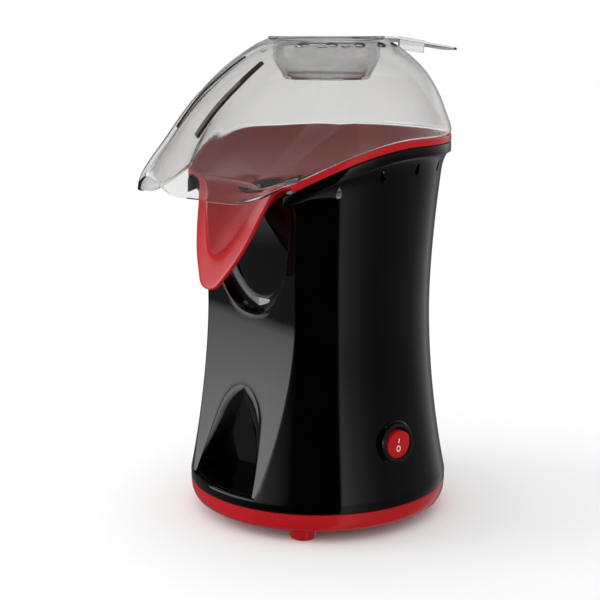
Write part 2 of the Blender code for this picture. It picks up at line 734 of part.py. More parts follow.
# ---------------------------------------------------------------- heater, chamber and deck
def make_air_duct():
    low = FAN_HOUSING_TOP_Z + BRACKET_T + 2 * GAP
    inner = DUCT_R - DUCT_T
    throat = CHAMBER_R + GAP
    profile = [(throat, DUCT_TOP_Z), (DUCT_R, DUCT_TOP_Z), (DUCT_R, low), (inner, low),
               (inner, DUCT_TOP_Z - DUCT_T), (throat, DUCT_TOP_Z - DUCT_T)]
    duct = turned("air_duct", profile, ALUMINIUM, steps=32)
    hole = [spin(math.radians(200)) @ Matrix.Translation((0, -DUCT_R, 0.072))
            @ Matrix.Rotation(math.radians(90), 4, "X")]
    cut(duct, "lead_hole", rod_mesh("lead_hole", 0.0032, 0.01, hole, segments=16))


def make_heater():
    height = HEATER_TOP_Z - HEATER_BOTTOM_Z
    middle = (HEATER_TOP_Z + HEATER_BOTTOM_Z) / 2
    width = 2 * (CHAMBER_R - 0.0025)
    plates = [Matrix.Translation((0, 0, middle)), Matrix.Translation((0, 0, middle)) @ spin(math.pi / 2)]
    former = new_part("heater_former", box_mesh("heater_former", (width, 0.0011, height), plates[:1]),
                      MICA)
    unite(former, "former_cross", box_mesh("former_cross", (width, 0.0011, height), plates[1:]))
    coil = bpy.data.curves.new("heater_coil", "CURVE")
    coil.dimensions = "3D"
    coil.bevel_depth = 0.0008
    coil.bevel_resolution = 1
    coil.use_fill_caps = True
    spline = coil.splines.new("POLY")
    steps = 18 * HEATER_TURNS
    spline.points.add(steps)
    radius = width / 2 + 0.0008 + 2 * GAP
    for k, point in enumerate(spline.points):
        share = k / steps
        place = around(radius, 2 * math.pi * HEATER_TURNS * share,
                       HEATER_BOTTOM_Z + 0.003 + (height - 0.006) * share)
        point.co = (*place, 1.0)
    new_part("heater_coil", coil, NICHROME)


def make_popping_chamber():
    inner = CHAMBER_R - CHAMBER_T
    low = CHAMBER_BOTTOM_Z
    floor = low + CHAMBER_T
    profile = [(0, floor + 0.004), (0.014, floor), (inner - 0.003, floor), (inner, floor + 0.003),
               (inner, CHAMBER_TOP_Z), (CHAMBER_FLANGE_R, CHAMBER_TOP_Z),
               (CHAMBER_FLANGE_R, CHAMBER_TOP_Z - CHAMBER_T), (CHAMBER_R, CHAMBER_TOP_Z - CHAMBER_T),
               (CHAMBER_R, floor + 0.0027), (CHAMBER_R - 0.0037, low), (0.0137, low), (0, floor + 0.0028)]
    chamber = turned("popping_chamber", profile, ALUMINIUM, closed=False, steps=32)
    slots = [spin(2 * math.pi * (k + 0.5) / LOUVRES)
             @ Matrix.Translation((0, -CHAMBER_R, low + 0.011)) @ Matrix.Rotation(0.6, 4, "Y")
             for k in range(LOUVRES)]
    cut(chamber, "louvres", box_mesh("louvres", (0.0018, 0.008, 0.010), slots))
    front = Matrix.Translation((0, -CHAMBER_R - 2 * GAP - 0.01, CHAMBER_TOP_Z))
    cut(chamber, "flange_front", box_mesh("flange_front", (0.08, 0.02, 0.01), [front]))
    cut(chamber, "flange_holes", rod_mesh("flange_holes", SCREW_SHANK_R + GAP, 0.01,
                                          chamber_screw_places(CHAMBER_TOP_Z), segments=10))


def chamber_screw_places(z):
    ring = (CHAMBER_R + CHAMBER_FLANGE_R) / 2
    return [Matrix.Translation(around(ring, math.radians(a), z)) for a in (60, 180, 300)]


def make_chamber_deck():
    """Heat-resistant plate that carries the chamber, flat at the front."""
    top = CHAMBER_TOP_Z - CHAMBER_T - GAP
    radius = deck_radius()
    profile = [(radius, top), (radius, top - DECK_T), (CHAMBER_R + GAP, top - DECK_T),
               (CHAMBER_R + GAP, top)]
    deck = turned("chamber_deck", profile, NYLON, steps=36)
    front = Matrix.Translation((0, DECK_FRONT_Y - 0.025, top))
    cut(deck, "deck_front", box_mesh("deck_front", (0.2, 0.05, 0.02), [front]))
    cut(deck, "deck_pilots", rod_mesh("deck_pilots", SCREW_SHANK_R + GAP, 0.012,
                                      chamber_screw_places(top), segments=10))


def make_chamber_screws():
    base = GAP
    profile = [(0, base + 0.0014), (0.0014, base + 0.0014), (0.0024, base + 0.0008), (0.0024, base),
               (SCREW_SHANK_R, base), (SCREW_SHANK_R, -0.0040), (0, -0.0048)]
    for number, place in enumerate(chamber_screw_places(CHAMBER_TOP_Z), 1):
        screw = turned(f"chamber_screw_{number}", profile, STEEL, closed=False, steps=10)
        screw.location = place.translation


# ---------------------------------------------------------------- electrical pieces
def make_electrics():
    outward = Matrix.Rotation(math.radians(90), 4, "X")
    place = spin(math.radians(150)) @ Matrix.Translation((0, -DUCT_R - 0.0035, 0.104)) @ outward
    new_part("thermostat", rod_mesh("thermostat", 0.0075, 0.005, [place], segments=20), NYLON)
    place = spin(math.radians(118)) @ Matrix.Translation((0, -DUCT_R - 0.0026, 0.100))
    new_part("thermal_fuse", rod_mesh("thermal_fuse", 0.0021, 0.013, [place], segments=12), STEEL)
    board = spin(math.radians(215)) @ Matrix.Translation((0, -0.0555, 0.062))
    new_part("rectifier_board", box_mesh("rectifier_board", (0.030, 0.0016, 0.022), [board]), BOARD)
    for k in range(4):
        offset = Matrix.Translation((-0.009 + 0.006 * k, -0.0026, 0))
        mesh = rod_mesh("diode", 0.0014, 0.008, [board @ offset], segments=10)
        new_part(f"rectifier_diode_{k + 1}", mesh, RUBBER)


def make_leads():
    """Internal wires, along hand-chosen routes inside the wall."""
    def on(radius, degrees, z):
        return around(radius, math.radians(degrees), z)
    lead("live_lead", 0.0012, RED_WIRE,
         [on(0.0705, 178, 0.033), on(0.066, 160, 0.036), on(0.062, 135, 0.040), on(0.058, 110, 0.044),
          on(0.0525, 96, 0.052)])
    lead("neutral_lead", 0.0012, BLUE_WIRE,
         [on(0.0705, 182, 0.034), on(0.066, 181, 0.050), on(0.060, 172, 0.080), on(0.0555, 156, 0.100)])
    lead("switched_lead", 0.0012, RED_WIRE,
         [on(0.0515, 93, 0.062), on(0.054, 100, 0.078), on(0.0535, 112, 0.086), on(0.0488, 118, 0.0925)])
    for number, shift in ((1, -1.6), (2, 1.6)):
        lead(f"motor_lead_{number}", 0.0009, RUBBER,
             [on(0.0535, 206 + shift, 0.070), on(0.050, 201.5 + shift, 0.0725),
              on(0.042, 200 + shift, 0.073), on(0.030, 200 + 2 * shift, 0.076),
              on(0.020, 200 + 3 * shift, 0.0825), on(0.010, 200 + 5 * shift, 0.0822)])


# ---------------------------------------------------------------- chute
TONGUE_EDGE = ((0.0, 0.1495), (0.0125, 0.1575), (0.0215, 0.170), (0.0295, 0.185), (0.0364, 0.200),
               (0.0430, 0.2085), (0.0523, 0.2136))
CHANNEL_EDGE = ((0.0, 0.1695), (0.0088, 0.1745), (0.0150, 0.1840), (0.0205, 0.195), (0.0265, 0.2050),
                (0.0360, 0.2110), (0.0480, 0.2145))


def edge_point(knots, share):
    """Point on the tongue's leaning plane, share 0 at the tip and 1 at the rim's corner."""
    stations = np.linspace(0.0, 1.0, len(knots))
    x = smooth([(s, k[0]) for s, k in zip(stations, knots)], abs(share))
    z = smooth([(s, k[1]) for s, k in zip(stations, knots)], abs(share))
    return Vector((math.copysign(x, share), tongue_y(z), z))


def front_chute_section(share):
    """From the collar down the channel, over the brim and round its edge."""
    angle = share * CORNER_ANGLE
    collar = around(COLLAR_R, angle, COLLAR_Z)
    lip = edge_point(CHANNEL_EDGE, share)
    edge = edge_point(TONGUE_EDGE, share)
    back = Vector((0, 0.0024, -0.0008 - 0.002 * abs(share) ** 4))
    floor = [collar.lerp(lip, s) for s in (0.0, 0.12, 0.35, 0.6, 0.85, 1.0)]
    return floor + [lip.lerp(edge, 0.5), edge, edge + back]


def rim_chute_section(angle):
    """From the collar up the bowl, over the rim strip and down its outer face."""
    rim = rim_height(around(RIM_R, angle).y)
    collar = around(COLLAR_R, angle, COLLAR_Z)
    from_corner = min(abs(angle - CORNER_ANGLE), abs(2 * math.pi - CORNER_ANGLE - angle))
    bowl = 0.0020 + 0.0055 * min(from_corner / 0.6, 1.0)
    shoulder = around(0.0755, angle, rim - bowl)
    floor = [collar.lerp(shoulder, s) for s in (0.0, 0.12, 0.35, 0.6, 0.85)]
    for point, dip in zip(floor, (0.0, 0.0004, 0.0014, 0.0018, 0.0012)):
        point.z -= dip * min(from_corner / 0.6, 1.0)
    return floor + [around(0.0768, angle, rim - 0.0008), around(0.0780, angle, rim),
                    around(RIM_R, angle, rim), around(RIM_R, angle, rim - STRIP_H)]


def make_chute():
    front = 16
    sections = [front_chute_section(-1 + 2 * k / front) for k in range(front + 1)]
    back = COLUMNS - front
    start = CORNER_ANGLE + math.radians(2.5)
    sweep = 2 * math.pi - 2 * start
    sections += [rim_chute_section(start + sweep * k / (back - 1)) for k in range(back)]
    chute = new_part("chute", sheet_mesh("chute", sections), RED, CHUTE_FRAME)
    solidify(chute, CHUTE_T)


# ---------------------------------------------------------------- hood
# each row: radius and share of the fall from the top, at the side and on the nose's ridge
HOOD_ROWS = (
    # side r, side fall, nose r, nose fall, spread in degrees
    (HOOD_HOLE_R, 0.000, HOOD_HOLE_R, 0.000, 100),
    (HOOD_RING_R, 0.000, HOOD_RING_R, 0.000, 100),
    (0.0430, 0.055, 0.0475, 0.055, 100),
    (0.0525, 0.176, 0.0605, 0.152, 100),
    (0.0625, 0.344, 0.0755, 0.292, 95),
    (0.0712, 0.566, 0.0925, 0.480, 80),
    (0.0775, 0.796, 0.1085, 0.715, 58),
    (RIM_R - 0.0009, 0.945, 0.1205, 0.895, 47),
    (RIM_R - 0.0004, 1.000, NOSE_REACH, 1.000, 43),
)
HOOD_EDGE = ((0.0, 0.2135), (8.0, 0.2125), (14.5, 0.2088), (20.0, 0.2067), (26.0, 0.2062),
             (32.0, 0.2086), (39.5, 0.2146))
NOSE_PLAN = ((0.0, 0.1245), (7.5, 0.1215), (14.4, 0.1144), (20.0, 0.1090), (25.5, 0.1033),
             (31.0, 0.0969), (39.5, 0.0858), (45.0, 0.0819))


def hood_edge_height(degrees):
    if degrees <= 39.5:
        return smooth(HOOD_EDGE, degrees)
    resting = rim_height(around(RIM_R, math.radians(degrees)).y) + GAP + HOOD_LIFT
    blend = min((degrees - 39.5) / 5.0, 1.0)
    return resting * blend + max(resting, HOOD_EDGE[-1][1]) * (1 - blend)


def hood_section(angle):
    """Outer profile of the hood at an angle from the front."""
    degrees = abs(math.degrees(angle))
    edge = hood_edge_height(degrees)
    points = []
    for index, (side_r, side_fall, nose_r, nose_fall, spread) in enumerate(HOOD_ROWS):
        weight = bell(degrees, spread)
        radius = side_r + (nose_r - side_r) * weight
        fall = side_fall + (nose_fall - side_fall) * weight
        if index == len(HOOD_ROWS) - 1 and degrees < 45.0:
            radius = smooth(NOSE_PLAN, degrees)
        share = index / (len(HOOD_ROWS) - 1)
        point = around(radius, angle, HOOD_TOP_Z - (HOOD_TOP_Z - edge) * fall)
        point.y += TOP_OFFSET_Y * (1 - side_fall) ** 0.7
        if degrees < 90:
            point.z += RIDGE_H * ridge(point.x) * min(max((share - 0.2) / 0.4, 0.0), 1.0)
        points.append(point)
    return points


def ridge(x):
    """Cross-section of the nose's ridge with a valley either side."""
    across = abs(x) / RIDGE_HALF_W
    crown = 0.5 + 0.5 * math.cos(math.pi * min(across, 1.0))
    valley = 0.35 * math.exp(-((across - 1.15) / 0.35) ** 2)
    return crown - valley


def hood_angles():
    """Columns closer together over the nose."""
    fine = [math.radians(a) for a in (0, 4, 8, 11, 14.5, 20, 26, 32.5, 39.5, 46)]
    coarse = [math.radians(54 + 126 * k / 12) for k in range(13)]
    half = fine + coarse
    return [-a for a in reversed(half[1:-1])] + half


def make_hood():
    sections = [hood_section(a) for a in hood_angles()]
    hood = new_part("top_cover", sheet_mesh("top_cover", sections), SMOKE, HOOD_FRAME)
    solidify(hood, HOOD_T)
    cut(hood, "hood_slots", slot_mesh(), HOOD_FRAME)
    cut(hood, "hood_vents", hood_vent_mesh(), HOOD_FRAME)


def slot_mesh():
    """Three upright blades along the ridge."""
    places = [Matrix.Translation((x, -0.0755, 0.262)) @ Matrix.Rotation(math.radians(38), 4, "X")
              for x in (-SLOT_X, 0.0, SLOT_X)]
    return box_mesh("hood_slots", (SLOT_W, 0.062, 0.050), places)


def hood_vent_mesh():
    places = []
    for k in range(12):
        step = k - 5.5
        side = math.copysign(1.0, step)
        angle = side * math.radians(VENT_RING_STEP) * (abs(step) + 1.0)
        centre = around(VENT_RING_R, angle, HOOD_TOP_Z - 0.003)
        centre.y += TOP_OFFSET_Y
        places.append(Matrix.Translation(centre) @ spin(angle) @ Matrix.Rotation(math.radians(28), 4, "X")
                      @ Matrix.Diagonal((1.6, 1.0, 1.0, 1.0)))
    return rod_mesh("hood_vents", 0.0023, 0.012, places, segments=12)


# ---------------------------------------------------------------- measuring cup
def make_cup():
    seat = HOOD_TOP_Z + GAP
    top = seat + 0.0015
    inner = CUP_T
    profile = [
        (0, CUP_BOTTOM_Z + inner), (CUP_FLOOR_R - inner, CUP_BOTTOM_Z + inner),
        (CUP_R - inner - 0.0004, CUP_SHOULDER_Z), (CUP_R - inner, top), (CUP_FLANGE_R - 0.0004, top),
        (CUP_FLANGE_R, top - 0.0005), (CUP_FLANGE_R, seat), (CUP_R, seat),
        (CUP_R - 0.0004, CUP_SHOULDER_Z), (CUP_FLOOR_R, CUP_BOTTOM_Z), (0, CUP_BOTTOM_Z),
    ]
    cup = turned("measuring_cup", profile, CLEAR, CUP_FRAME, closed=False, steps=36)
    unite(cup, "cup_handle", handle_mesh(), CUP_FRAME)
    unite(cup, "handle_rib", rib_mesh(), CUP_FRAME)


def handle_mesh():
    """Flat tab that droops slightly towards its end."""
    seat = HOOD_TOP_Z + GAP
    start = CUP_R + 0.0008
    end = HANDLE_REACH - TOP_OFFSET_Y
    stations = ((start, 0.0, 1.25), (0.045, 0.0, 1.1), (0.070, 0.0032, 1.0), (0.095, 0.0062, 0.9),
                (end - 0.003, 0.0075, 0.72), (end, 0.0078, 0.45))
    sections = []
    for y, droop, width in stations:
        half = HANDLE_HALF_W * width
        high = seat + 0.0014 - droop
        low = high - 0.0013
        sections.append([Vector((-half, y, high)), Vector((half, y, high)), Vector((half, y, low)),
                         Vector((-half, y, low))])
    return loft_mesh("cup_handle", sections, capped=True)


def rib_mesh():
    """Grip rib standing through the tab."""
    place = Matrix.Translation((0, 0.070, HOOD_TOP_Z - 0.0038)) @ Matrix.Rotation(-0.12, 4, "X")
    return box_mesh("handle_rib", (0.0014, 0.022, 0.0080), [place])


# ---------------------------------------------------------------- assembly
clear_scene()
PARTS = new_collection("popcorn_maker")
TOOLS = new_collection("cutters")

RED = material("red_plastic", (0.56, 0.012, 0.022), 0.28)
BLACK = material("gloss_black_plastic", (0.010, 0.010, 0.011), 0.12)
SMOKE = material("smoked_plastic", (0.36, 0.36, 0.36), 0.08, alpha=0.35)
CLEAR = material("clear_plastic", (0.62, 0.63, 0.64), 0.08, alpha=0.35)
RUBBER = material("rubber", (0.02, 0.02, 0.02), 0.7)
NYLON = material("heat_resistant_nylon", (0.05, 0.05, 0.05), 0.6)
STEEL = material("steel", (0.55, 0.55, 0.56), 0.35, metallic=1.0)
BRASS = material("brass", (0.72, 0.52, 0.22), 0.35, metallic=1.0)
ALUMINIUM = material("aluminium", (0.78, 0.78, 0.79), 0.32, metallic=1.0)
NICHROME = material("nichrome", (0.35, 0.32, 0.30), 0.45, metallic=1.0)
MICA = material("mica", (0.45, 0.37, 0.27), 0.55)
BOARD = material("circuit_board", (0.28, 0.18, 0.07), 0.6)
RED_WIRE = material("red_insulation", (0.5, 0.03, 0.03), 0.5)
BLUE_WIRE = material("blue_insulation", (0.03, 0.09, 0.4), 0.5)

APPLIANCE = new_empty("appliance_axis", (0, AXIS_Y, 0))
FAN_FRAME = new_empty("fan_axis", (0, 0, 0), APPLIANCE)
CHUTE_FRAME = new_empty("chute_seat", (0, 0, 0), APPLIANCE)
HOOD_FRAME = new_empty("hood_seat", (0, 0, 0), CHUTE_FRAME)
CUP_FRAME = new_empty("cup_seat", (0, TOP_OFFSET_Y, 0), HOOD_FRAME)
SWITCH_FRAME = new_empty("switch_axis", (body_radius(SWITCH_Z), 0, SWITCH_Z), APPLIANCE,
                         (0, math.radians(90) - body_slope(SWITCH_Z), 0))
INLET_FRAME = new_empty("inlet_axis", (0, body_radius(INLET_Z), INLET_Z), APPLIANCE,
                        (-math.radians(90) + body_slope(INLET_Z), 0, 0))

make_base_tray()
make_feet()
make_base_screws()
make_housing_shell()
make_front_panel()
make_switch()
make_cord_inlet()
make_fan_housing()
make_bracket()
make_motor()
make_impeller()
make_air_duct()
make_heater()
make_popping_chamber()
make_chamber_deck()
make_chamber_screws()
make_electrics()
make_leads()
make_chute()
make_hood()
make_cup()
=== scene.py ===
"""Hot-air popcorn maker: finished surfaces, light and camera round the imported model.

Metres, +Z up, the front faces -Y and the switch is on the +X side. The shape rules repeat the
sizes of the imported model, so every new piece lies where the solid it stands for lies.
"""

from __future__ import annotations

import json
import logging
import math
from dataclasses import dataclass, field
from enum import Enum
from functools import cache
from typing import Callable, Iterable, Sequence

import bpy
import numpy as np
from mathutils import Matrix, Vector

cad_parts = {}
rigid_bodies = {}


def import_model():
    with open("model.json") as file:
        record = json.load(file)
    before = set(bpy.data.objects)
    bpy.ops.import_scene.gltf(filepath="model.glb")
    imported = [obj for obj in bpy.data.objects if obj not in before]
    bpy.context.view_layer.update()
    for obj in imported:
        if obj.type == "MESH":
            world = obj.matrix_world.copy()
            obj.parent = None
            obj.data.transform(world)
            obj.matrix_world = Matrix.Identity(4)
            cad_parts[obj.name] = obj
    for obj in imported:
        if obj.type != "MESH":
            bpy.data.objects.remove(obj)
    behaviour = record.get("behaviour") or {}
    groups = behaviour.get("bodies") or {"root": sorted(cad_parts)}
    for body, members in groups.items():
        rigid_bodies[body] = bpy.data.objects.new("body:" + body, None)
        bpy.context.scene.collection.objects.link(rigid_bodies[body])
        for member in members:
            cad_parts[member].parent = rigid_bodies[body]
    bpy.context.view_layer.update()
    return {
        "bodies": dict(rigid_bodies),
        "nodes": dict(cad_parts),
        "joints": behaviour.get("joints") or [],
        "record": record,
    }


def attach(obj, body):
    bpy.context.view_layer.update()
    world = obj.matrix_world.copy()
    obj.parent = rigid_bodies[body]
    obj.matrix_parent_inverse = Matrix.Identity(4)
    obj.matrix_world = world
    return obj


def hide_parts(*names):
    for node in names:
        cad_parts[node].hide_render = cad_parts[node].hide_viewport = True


LOG = logging.getLogger("popcorn_maker")
AXIS_Y = (0.1245 - 0.1120) / 2       # the round body's axis, ahead of the box's middle by this
GAP = 0.0003
MERGE = 0.00002

Placed = Callable[[int, int], Vector]
Profile = Sequence[tuple[float, float]]


class Body(Enum):
    """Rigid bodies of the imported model."""

    HOUSING = "housing"
    ROCKER = "rocker"
    FAN = "fan"
    CHUTE = "chute"
    HOOD = "hood"
    CUP = "cup"


class Slot(Enum):
    """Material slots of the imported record."""

    RED = "red_plastic"
    BLACK = "gloss_black_plastic"
    SMOKE = "smoked_plastic"
    CLEAR = "clear_plastic"
    RUBBER = "rubber"
    NYLON = "heat_resistant_nylon"
    STEEL = "steel"
    BRASS = "brass"
    ALUMINIUM = "aluminium"
    NICHROME = "nichrome"
    MICA = "mica"
    BOARD = "circuit_board"
    RED_WIRE = "red_insulation"
    BLUE_WIRE = "blue_insulation"


# ---------------------------------------------------------------- small sums
def smooth(knots: Profile, x: float) -> float:
    """Read a smooth curve through knots.

    Args:
        knots: (x, value) pairs in rising x.
        x: where to read it; outside the knots the end value holds.

    Returns:
        The value there.
    """
    xs = np.array([k[0] for k in knots], dtype=float)
    ys = np.array([k[1] for k in knots], dtype=float)
    slopes = np.gradient(ys, xs)
    i = int(np.clip(np.searchsorted(xs, x) - 1, 0, len(xs) - 2))
    width = xs[i + 1] - xs[i]
    s = min(max((x - xs[i]) / width, 0.0), 1.0)
    return float(ys[i] * (1 + 2 * s) * (1 - s) ** 2 + ys[i + 1] * s * s * (3 - 2 * s)
                 + width * (slopes[i] * s * (1 - s) ** 2 + slopes[i + 1] * s * s * (s - 1)))


def straight(knots: Profile, x: float) -> float:
    """Read a broken line through (x, value) knots."""
    return float(np.interp(x, [k[0] for k in knots], [k[1] for k in knots]))


def ease(s: float) -> float:
    """Smooth step from 0 to 1."""
    s = min(max(s, 0.0), 1.0)
    return s * s * (3 - 2 * s)


def bell(angle: float, half_angle: float) -> float:
    """1 at the front, falling smoothly to 0 at half_angle and beyond."""
    return 0.5 + 0.5 * math.cos(math.pi * min(abs(angle) / half_angle, 1.0))


def around(radius: float, angle: float, z: float = 0.0) -> Vector:
    """Point at an angle from the front (-Y) of the body's axis, turning towards +X."""
    return Vector((radius * math.sin(angle), AXIS_Y - radius * math.cos(angle), z))


def from_axis(x: float, y: float, z: float) -> Vector:
    """Point given from the body's axis."""
    return Vector((x, AXIS_Y + y, z))


def spin_about_axis(angle: float) -> Matrix:
    """Turn about the body's axis, from the front towards +X."""
    return Matrix.Translation((0, AXIS_Y, 0)) @ Matrix.Rotation(angle, 4, "Z")


@dataclass(frozen=True)
class BodyForm:
    """Shape rules of the waisted body, its slanting rim and its flat front."""

    band_r: float = 0.0825
    bell_r: float = 0.0834
    waist_r: float = 0.0706
    shoulder_r: float = 0.0795
    waist_z: float = 0.135
    band_z: float = 0.019
    lower_power: float = 1.9
    upper_power: float = 1.7
    rim_r: float = 0.0822
    rim_top: float = 0.2392
    rim_break_y: float = 0.015
    rim_drop: float = 0.0221
    rim_run: float = 0.0733
    rim_power: float = 2.2
    strip_h: float = 0.0045
    flange_h: float = 0.0059
    flare_h: float = 0.012
    wall: float = 0.0024
    face_waist: float = 0.0529
    face_toe: float = 0.0745
    face_head: float = 0.0549
    face_bottom: float = 0.025
    face_top: float = 0.2064
    face_power: float = 1.75
    lip: float = 0.0005

    def radius(self, z: float) -> float:
        """Outer radius of the body at height z."""
        if z <= self.waist_z:
            share = (self.waist_z - z) / (self.waist_z - self.band_z)
            return min(self.band_r, self.waist_r + (self.bell_r - self.waist_r) * share ** self.lower_power)
        share = (z - self.waist_z) / (self.rim_top - self.waist_z)
        return self.waist_r + (self.shoulder_r - self.waist_r) * share ** self.upper_power

    def slope(self, z: float) -> float:
        """Angle by which the wall's outward normal tips up at height z."""
        step = 0.001
        return math.atan2(self.radius(z - step) - self.radius(z + step), 2 * step)

    def rim(self, angle: float) -> float:
        """Top of the red strip at an angle from the front."""
        y = -self.rim_r * math.cos(angle)
        fall = max(0.0, self.rim_break_y - y) / self.rim_run
        return self.rim_top - self.rim_drop * fall ** self.rim_power

    def flange(self, angle: float) -> float:
        """Bottom of the black flange under the strip."""
        return self.rim(angle) - self.strip_h - GAP - self.flange_h

    def face(self, z: float) -> float:
        """How far the flat front stands ahead of the axis at height z."""
        if z <= self.waist_z:
            share = min((self.waist_z - z) / (self.waist_z - self.face_bottom), 1.0)
            return self.face_waist + (self.face_toe - self.face_waist) * share ** self.face_power
        share = (z - self.waist_z) / (self.face_top - self.waist_z)
        return self.face_waist + (self.face_head - self.face_waist) * share

    def face_half(self, z: float) -> float:
        """Half width of the opening in the shell at height z."""
        z = min(max(z, self.face_bottom), self.face_top)
        return math.sqrt(self.radius(z) ** 2 - self.face(z) ** 2) - self.lip


FORM = BodyForm()


# ---------------------------------------------------------------- modelling bench
class Bench:
    """Edit-mode tools that every sub-assembly shares."""

    @staticmethod
    def clear() -> None:
        """Leave edit mode and select nothing."""
        if bpy.context.object and bpy.context.object.mode != "OBJECT":
            bpy.ops.object.mode_set(mode="OBJECT")
        bpy.ops.object.select_all(action="DESELECT")

    @staticmethod
    def started(name: str) -> bpy.types.Object:
        """Name the primitive that was just added."""
        piece = bpy.context.active_object
        piece.name = name
        piece.data.name = name
        return piece

    @staticmethod
    def pick(piece: bpy.types.Object) -> None:
        """Make a piece the only selected and active object."""
        Bench.clear()
        piece.select_set(True)
        bpy.context.view_layer.objects.active = piece

    @staticmethod
    def mend(piece: bpy.types.Object, outward: bool = True) -> None:
        """Merge doubled points and, on a closed skin, turn its faces outwards."""
        Bench.pick(piece)
        bpy.ops.object.mode_set(mode="EDIT")
        bpy.ops.mesh.select_all(action="SELECT")
        bpy.ops.mesh.remove_doubles(threshold=MERGE)
        if outward:
            bpy.ops.mesh.normals_make_consistent(inside=False)
        bpy.ops.object.mode_set(mode="OBJECT")

    @staticmethod
    def sheet(name: str, columns: int, rows: int, place: Placed, flip: bool = False) -> bpy.types.Object:
        """Lay a primitive grid on a surface rule.

        Args:
            name: the piece's name.
            columns: faces along the first count.
            rows: faces along the second count.
            place: gives the point for a (column, row) corner.
            flip: turn the faces to look the other way.

        Returns:
            The sheet, with its seams and poles merged.
        """
        Bench.clear()
        bpy.ops.mesh.primitive_grid_add(x_subdivisions=columns, y_subdivisions=rows, size=2.0)
        piece = Bench.started(name)
        points = np.empty(len(piece.data.vertices) * 3)
        piece.data.vertices.foreach_get("co", points)
        spots = points.reshape(-1, 3)
        across = np.rint((spots[:, 0] + 1) / 2 * columns).astype(int)
        along = np.rint((spots[:, 1] + 1) / 2 * rows).astype(int)
        laid = np.array([place(int(i), int(j)) for i, j in zip(across, along)], dtype=float)
        piece.data.vertices.foreach_set("co", laid.ravel())
        Bench.pick(piece)
        bpy.ops.object.mode_set(mode="EDIT")
        bpy.ops.mesh.select_all(action="SELECT")
        bpy.ops.mesh.remove_doubles(threshold=MERGE)
        if flip:
            bpy.ops.mesh.flip_normals()
        bpy.ops.object.mode_set(mode="OBJECT")
        return piece

    @staticmethod
    def turned(name: str, profile: Profile, steps: int = 96, place: Matrix | None = None,
               closed: bool = False) -> bpy.types.Object:
        """Turn a profile about the Z axis.

        Args:
            name: the piece's name.
            profile: (radius, z) points; an open profile starts and ends on the axis.
            steps: facets round the turn.
            place: moves the turned piece to its seat, by default onto the body's axis.
            closed: the profile joins its own start, as for a ring.

        Returns:
            A closed turned piece.
        """
        Bench.clear()
        radius, height = profile[0]
        bpy.ops.mesh.primitive_plane_add(size=0.001, location=(radius, 0, height))
        piece = Bench.started(name)
        bpy.ops.object.transform_apply(location=True, rotation=False, scale=False)
        bpy.ops.object.mode_set(mode="EDIT")
        bpy.ops.mesh.select_all(action="SELECT")
        bpy.ops.mesh.merge(type="CENTER")
        path = list(profile[1:]) + ([profile[0]] if closed else [])
        for r, z in path:
            bpy.ops.mesh.extrude_region_move(TRANSFORM_OT_translate={"value": (r - radius, 0, z - height)})
            radius, height = r, z
        bpy.ops.mesh.select_all(action="SELECT")
        bpy.ops.mesh.spin(steps=steps, angle=2 * math.pi, center=(0, 0, 0), axis=(0, 0, 1))
        bpy.ops.mesh.select_all(action="SELECT")
        bpy.ops.mesh.remove_doubles(threshold=MERGE)
        bpy.ops.mesh.normals_make_consistent(inside=False)
        bpy.ops.object.mode_set(mode="OBJECT")
        piece.data.transform(place or Matrix.Translation((0, AXIS_Y, 0)))
        return piece

    @staticmethod
    def block(name: str, size: Sequence[float], place: Matrix, soften: float = 0.0) -> bpy.types.Object:
        """Bring a cube to size, soften its edges and put it in place."""
        Bench.clear()
        bpy.ops.mesh.primitive_cube_add(size=1.0)
        piece = Bench.started(name)
        piece.scale = size
        bpy.ops.object.transform_apply(location=False, rotation=False, scale=True)
        if soften:
            bpy.ops.object.mode_set(mode="EDIT")
            bpy.ops.mesh.select_all(action="SELECT")
            bpy.ops.mesh.bevel(offset=soften, segments=3, affect="EDGES")
            bpy.ops.object.mode_set(mode="OBJECT")
        piece.data.transform(place)
        return piece

    @staticmethod
    def rod(name: str, radius: float, length: float, place: Matrix, steps: int = 24,
            soften: float = 0.0) -> bpy.types.Object:
        """Bring a cylinder to size, soften its two rims and put it in place."""
        Bench.clear()
        bpy.ops.mesh.primitive_cylinder_add(vertices=steps, radius=radius, depth=length)
        piece = Bench.started(name)
        if soften:
            Bench.round_edges(piece, soften, 3, 60.0)
        piece.data.transform(place)
        return piece

    @staticmethod
    def apply(piece: bpy.types.Object, kind: str, **settings: object) -> None:
        """Add one modifier with these settings and apply it."""
        Bench.pick(piece)
        modifier = piece.modifiers.new(kind.title(), kind)
        for name, value in settings.items():
            setattr(modifier, name, value)
        bpy.ops.object.modifier_apply(modifier=modifier.name)

    @staticmethod
    def thicken(piece: bpy.types.Object, thickness: float, even: bool = True) -> None:
        """Give a sheet a wall behind its face."""
        Bench.apply(piece, "SOLIDIFY", thickness=thickness, offset=-1.0, use_even_offset=even,
                    use_quality_normals=True)

    @staticmethod
    def round_edges(piece: bpy.types.Object, width: float, segments: int = 2, angle: float = 40.0) -> None:
        """Round every edge sharper than the angle."""
        Bench.apply(piece, "BEVEL", width=width, segments=segments, limit_method="ANGLE",
                    angle_limit=math.radians(angle), use_clamp_overlap=True, harden_normals=False)

    @staticmethod
    def refine(piece: bpy.types.Object, levels: int = 1) -> None:
        """Smooth a cage with a subdivision surface."""
        Bench.apply(piece, "SUBSURF", levels=levels, render_levels=levels)

    @staticmethod
    def carve(piece: bpy.types.Object, cutters: Iterable[bpy.types.Object],
              operation: str = "DIFFERENCE") -> None:
        """Cut pieces away, or join them on, and remove them."""
        for cutter in list(cutters):
            Bench.apply(piece, "BOOLEAN", operation=operation, object=cutter, solver="EXACT")
            bpy.data.objects.remove(cutter, do_unlink=True)

